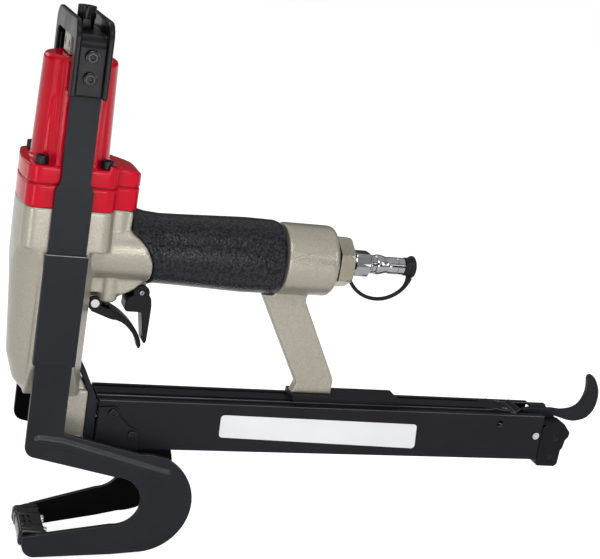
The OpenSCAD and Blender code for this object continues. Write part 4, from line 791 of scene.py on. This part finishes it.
def jaw_ring(share, inset, crest, nose):
    """One side outline of the stack: flat top and foot, bulged nose, at a share of the width."""
    low, high = anvil_low + inset, anvil_top + crest - inset
    front, rear = anvil_front - nose + inset, anvil_rear - inset
    ring = []
    for cx, cz, r, start in ((rear - rear_round, high - rear_round, rear_round, 0),
                             (front + nose_round, high - nose_round, nose_round, 90),
                             (front + nose_round, low + nose_round, nose_round, 180),
                             (rear - rear_round, low + rear_round, rear_round, 270)):
        for k in range(7):
            a = math.radians(start + 15 * k)
            x, z = cx + r * math.cos(a), cz + r * math.sin(a)
            half = front_half + (rear_half - front_half) * (x - anvil_front) / (anvil_rear - anvil_front)
            ring.append((x * MM, share * (half - jaw_play) * MM, z * MM))
    return ring


jaw_rings = []
for low, high, crest, nose in jaw_plates:
    for share, inset in ((low + plate_gap, plate_inset), (low + plate_ease, 0.0),
                         (high - plate_ease, 0.0), (high - plate_gap, plate_inset)):
        jaw_rings.append(jaw_ring(share, inset, crest, nose))
jaw = turned("clinch_anvil", jaw_rings)
grooves = []
for x in (-groove_x, groove_x):
    for y in (-groove_y, groove_y):
        groove = turned("groove", [round_ring(groove_round, z, 48) for z in (-groove_half, groove_half)])
        groove_place = Matrix.Translation((x * MM, y * MM, (anvil_top + groove_up) * MM))
        groove.data.transform(groove_place @ Matrix.Rotation(math.pi / 2, 4, "Y"))
        cut = jaw.modifiers.new("cut", "BOOLEAN")
        cut.operation = "DIFFERENCE"
        cut.object = groove
        grooves.append(groove)
settle(jaw)
for groove in grooves:
    bpy.data.objects.remove(groove)
smooth_by_angle(jaw, 35)
install(jaw, "clinch_arms", "black_steel", ["anvil"], jaw_black)
jaw_places = [((anvil_rear, y, anvil_top - jaw_screw_drop), (1, 0, 0)) for y in (-jaw_screw_y, jaw_screw_y)]
jaw_master = cap_screw("anvil_screw", shank=1.2, length=4.0, head=2.2, height=2.2)
install(set_on_points("anvil_screws", jaw_master, jaw_places, honed_steel), "clinch_arms", "bright_steel", [])

# Grip: a moulded rubber sleeve pushed over the handle, cut to a wave where it meets the neck.
# Its skin is near black with a fine raised grain that shows as small light specks.
grip_rubber = finish("grip_rubber", (0.001, 0.001, 0.002), (0.019, 0.019, 0.025), 0.28, 0.05, grain=680.0,
                     patch=40.0, pits=0.6, bump=0.7, depth=0.40, by_grain=True, specular=0.14)
grip = cast_skin("handle_grip", "rubber_grip", voxel=0.7, rounds=6, keep=0.5)
install(grip, "frame", "rubber", ["handle_grip"], grip_rubber)

# Air inlet: a khaki-plated hexagon cap on its rubber seal, and a bright plated quick plug screwed into it.
# A rubber dust cap sits on the plug's end and hangs on a thin moulded tether with a ring behind the hexagon.
khaki = finish("khaki_plate", (0.27, 0.25, 0.20), (0.20, 0.185, 0.145), 0.26, 0.05, metal=0.9, grain=1500.0,
               bump=0.08)
chrome = finish("bright_chrome", (0.29, 0.29, 0.30), (0.25, 0.25, 0.26), 0.11, 0.02, metal=1.0, grain=1500.0,
                bump=0.02)
install(eased("inlet_cap", "inlet_hexagon", width=0.5), "frame", "bronze", ["inlet_cap"], khaki, khaki)
dress("inlet_seal", black_rubber)
handle_z = 124.0
plug_hex, plug_neck, plug_end = 174.4, 184.9, 210.6


def along_handle(piece):
    """Lays a piece that was turned about Z along the handle's axis."""
    lift = Matrix.Translation((0, 0, handle_z * MM))
    piece.data.transform(lift @ Matrix.Rotation(math.pi / 2, 4, "Y"))
    smooth_by_angle(piece, 30)
    return piece


plug_rings = [round_ring(r, x, 48) for r, x in ((5.0, 156.0), (5.4, 156.8), (5.4, 173.4), (4.9, 173.8))]
plug_rings += [hex_ring(14.0, plug_hex + step, 48, limit) for step, limit in
               ((0.0, 6.6), (0.8, 7.5), (1.3, 8.2), (9.2, 8.2), (9.7, 7.5), (10.4, 6.6))]
plug_rings += [round_ring(r, plug_neck + step, 48) for r, step in (
    (5.6, 0.1), (5.7, 0.4), (5.7, 1.0), (5.45, 1.2), (5.7, 1.4), (5.7, 2.6), (5.2, 2.9), (5.2, 3.6),
    (5.8, 4.0), (6.05, 4.6), (6.15, 5.4), (6.1, 6.6), (5.85, 8.0), (5.45, 9.4), (5.1, 10.8), (4.95, 11.8),
    (5.05, 12.6), (5.2, 13.2), (5.2, 17.2), (4.9, 17.4), (4.9, 17.9), (5.2, 18.1), (5.2, 22.2), (4.7, 22.6),
    (3.9, 22.7), (3.9, 24.9), (3.5, 25.6), (2.9, 25.7), (2.7, 25.4), (2.7, 12.0))]
install(along_handle(turned("quick_plug", plug_rings)), "frame", "bright_steel", ["air_plug"], chrome)

tether_x, tether_r = plug_end - 16.9, 21.5
strap_thick, strap_wide, strap_draw = 1.15, 1.6, 1.3
tether_low, tether_high = math.radians(19), math.radians(164.3)
tether_rings = []
for i in range(65):
    a = tether_high + (tether_low - tether_high) * i / 64
    near_cap = max(0.0, 1 - (a - tether_low) / 0.45) ** 2
    near_ring = max(0.0, 1 - (tether_high - a) / 0.35) ** 2
    thick = strap_thick * (1 + 0.9 * near_cap + 0.6 * near_ring)
    wide = strap_wide * (1 + 0.5 * near_cap + 0.4 * near_ring)
    ring = []
    for j in range(16):
        t = 2 * math.pi * j / 16
        out = tether_r - strap_draw * near_cap + thick * math.cos(t)
        ring.append(((tether_x + out * math.cos(a)) * MM, wide * math.sin(t) * MM,
                     (handle_z - out * math.sin(a)) * MM))
    tether_rings.append(ring)
tether = turned("cap_strap", tether_rings)
collar_rings = [round_ring(r, x, 48) for r, x in (
    (5.6, 171.9), (7.5, 171.9), (7.9, 172.2), (8.0, 173.0), (7.9, 173.8), (7.5, 174.1), (5.6, 174.1))]
collar = along_handle(turned("strap_collar", collar_rings, loop=True))
join(tether, collar)
smooth_by_angle(tether, 40)
tether.data.materials.append(black_rubber)
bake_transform(tether)
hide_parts("cap_tether")

cover_rings = [round_ring(r, plug_end + step, 48) for r, step in (
    (4.0, 0.4), (4.2, 0.2), (4.2, -2.4), (4.5, -2.8), (5.2, -2.8), (5.5, -2.5), (5.5, -1.2), (5.6, -0.4),
    (6.0, 0.4), (6.5, 1.1), (6.8, 1.9), (6.8, 2.6), (6.5, 3.2), (5.8, 3.7), (4.6, 3.95), (3.4, 4.0),
    (3.1, 3.8), (1.5, 3.7))]
dust_cap = along_handle(turned("dust_cover", cover_rings))
install(dust_cap, "dust_cap", "rubber", ["dust_cap"], black_rubber)

# Trigger: a curved black steel lever on a silver pin, which presses the stem of the valve above it.
# A folded lock lever behind it turns on a hollow rivet in the casting's web. A small coil returns the stem.
trigger_black = finish("trigger_black", (0.004, 0.004, 0.005), (0.007, 0.007, 0.008), 0.34, 0.05,
                       grain=1400.0, bump=0.12, specular=0.1)
cheek_end, cheek_widen = 34.0, 3.0
lever_run, lever_half = 15.0, 3.1
lock_inner, lock_spread, lock_thin = 2.8, 4.8, 0.7
lock_rivet_x, lock_rivet_z = 48.9, 98.5


def slim_lever(x, y, z):
    """The trigger's wide cheeks run into its narrow lever in one taper."""
    run = min(max((x - cheek_end) / lever_run, 0.0), 1.0)
    if x > cheek_end - 0.01 and abs(y) < lever_half:
        y *= cheek_widen + (1 - cheek_widen) * run ** 0.7
    return x, y, z


def wide_cheeks(x, y, z):
    """The lock lever's cheeks stand clear of the cast web between them."""
    if abs(y) > 2:
        y = math.copysign(lock_spread + (abs(y) - lock_inner) * lock_thin, y)
    return x, y, z


install(eased("trigger", "trigger_lever", width=0.5, steps=3, shape=slim_lever),
        "trigger", "black_steel", ["trigger"], trigger_black, trigger_black)
install(eased("lock_lever", "trigger_lock", width=0.6, steps=3, shape=wide_cheeks),
        "lock_lever", "black_steel", ["lock_lever"], trigger_black, trigger_black)
dress("trigger_pin", spring_steel)
rivet = turned("lock_rivet", [round_ring(r, z, 32) for r, z in (
    (0.8, -4.0), (0.8, -6.1), (0.9, -6.25), (1.15, -6.25), (1.3, -6.1), (1.3, 6.1), (1.15, 6.25), (0.9, 6.25),
    (0.8, 6.1), (0.8, 4.0))])
rivet_place = Matrix.Translation((lock_rivet_x * MM, 0, lock_rivet_z * MM))
rivet.data.transform(rivet_place @ Matrix.Rotation(math.pi / 2, 4, "X"))
smooth_by_angle(rivet, 40)
install(rivet, "frame", "bright_steel", ["lock_pin"], spring_steel)
dress("trigger_valve", bush_bronze)
dress("valve_stem", black_oxide)
valve_low, valve_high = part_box("valve_spring")
valve_spring = wound_spring("valve_return_spring", turns=3, radius=2.4, wire=0.35, steps=20,
                            height=(valve_high.z - valve_low.z) / MM, place=(valve_x, 0, valve_low.z / MM))
install(valve_spring, "frame", "bright_steel", ["valve_spring"])
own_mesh(valve_spring)

# Nose: two hardened plates that form the driver's channel, screwed together on the casting's foot,
# and a black plate with a leaning ear behind the foot. All are blackened like the arms.
for node, name in (("nose_front", "nose_front_plate"), ("nose_guide", "nose_inner_guide"),
                   ("nose_plate", "nose_back_plate")):
    install(eased(node, name, width=0.35), "frame", "black_steel", [node], charcoal, charcoal)

# Magazine: a folded steel box that slides on a fixed rail, with staple core, pusher, end block and latch.
# Rail, box, wings and latch are blackened steel, and the core and the pusher inside are bright.
# The upper edges of the rail and the box take a lighter finish, a painted highlight that shows as thin light
# lines.
box_black = finish("box_black", (0.005, 0.005, 0.007), (0.007, 0.007, 0.010), 0.40, 0.05, grain=1600.0,
                   patch=25.0, bump=0.1, depth=0.06, specular=0.12)
# Painted highlight: a lighter finish for the upward-facing bevels of the rail and box lips.
lip_highlight = finish("lip_highlight", (0.060, 0.060, 0.064), (0.035, 0.035, 0.038), 0.34, 0.06, metal=0.5,
                    grain=1500.0, bump=0.05)
install(eased("magazine_rail", "rail", width=0.4), "frame", "black_steel", ["magazine_rail"],
        box_black, lip_highlight)
install(eased("rail_bracket", "rail_tongue", width=0.4), "frame", "black_steel", ["rail_bracket"],
        box_black, box_black)
install(eased("magazine_box", "magazine_channel", width=0.5, steps=3), "magazine", "black_steel",
        ["magazine_box"], box_black, lip_highlight)
install(eased("magazine_wings", "guide_wings", width=0.3), "magazine", "black_steel", ["magazine_wings"],
        box_black, box_black)
block_black = finish("block_black", (0.003, 0.003, 0.0045), (0.005, 0.005, 0.007), 0.42, 0.05, grain=1200.0,
                     bump=0.15, specular=0.1)
install(eased("end_block", "magazine_end", width=0.6, steps=3), "magazine", "black_block", ["end_block"],
        block_black, block_black)
block_front, block_half = 318.5, 14.3
rivet_spots = ((10.3, 21.5), (8.8, 9.0))
rivet_places = [((block_front + x, s * block_half, z), (0, s, 0)) for s in (-1, 1) for x, z in rivet_spots]
dome = turned("end_rivet", [round_ring(r, z, 32) for r, z in (
    (1.0, -0.5), (2.0, -0.1), (2.1, 0.15), (1.9, 0.45), (1.4, 0.7), (0.6, 0.8))])
install(set_on_points("end_rivets", dome, rivet_places, yoke_black), "magazine", "black_block", [])
install(eased("latch_lever", "latch_hook", width=0.5, steps=3), "latch", "black_steel", ["latch_lever"],
        charcoal, charcoal)
dress("latch_pin", spring_steel)
for node in ("staple_core", "pusher", "pusher_rod"):
    dress(node, honed_steel)
feed_z, feed_travel = 23.6, 0.15
pusher_low, pusher_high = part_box("pusher_spring")
pusher_spring = wound_spring("feed_spring", turns=34, radius=1.85, wire=0.4, steps=16,
                             height=(pusher_high.x - pusher_low.x) / MM,
                             place=(pusher_low.x / MM, 0, feed_z), along_x=True)
install(pusher_spring, "magazine", "bright_steel", ["pusher_spring"])
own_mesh(pusher_spring)

# Sticker: a plain white plastic sticker with rounded corners, pressed on the magazine box's near side.
# It is blank, thin as film and a little glossy.
sticker_white = finish("sticker_white", (0.62, 0.63, 0.65), (0.58, 0.59, 0.61), 0.35, 0.05, grain=500.0,
                       bump=0.02)
sticker_corners = [(104.6, 15.0), (231.8, 11.4), (230.6, 27.4), (104.2, 29.2)]
sticker_round = 2.2
sticker_back, sticker_front = -14.0, -14.12


def rounded_outline(corners, radius, steps=6):
    """A polygon whose corners, given anticlockwise in millimetres, are rounded."""
    outline = []
    for i, corner in enumerate(corners):
        here = Vector(corner)
        back = (Vector(corners[i - 1]) - here).normalized()
        ahead = (Vector(corners[(i + 1) % len(corners)]) - here).normalized()
        half = back.angle(ahead) / 2
        centre = here + (back + ahead).normalized() * (radius / math.sin(half))
        start = here + back * (radius / math.tan(half)) - centre
        stop = here + ahead * (radius / math.tan(half)) - centre
        sweep = start.angle_signed(stop)
        for s in range(steps + 1):
            outline.append(centre + Matrix.Rotation(-sweep * s / steps, 2) @ start)
    return outline


sticker_line = rounded_outline(sticker_corners, sticker_round)
sticker_rings = [[(p.x * MM, y * MM, p.y * MM) for p in sticker_line] for y in (sticker_back, sticker_front)]
install(turned("blank_sticker", sticker_rings), "magazine", "black_steel", [], sticker_white)
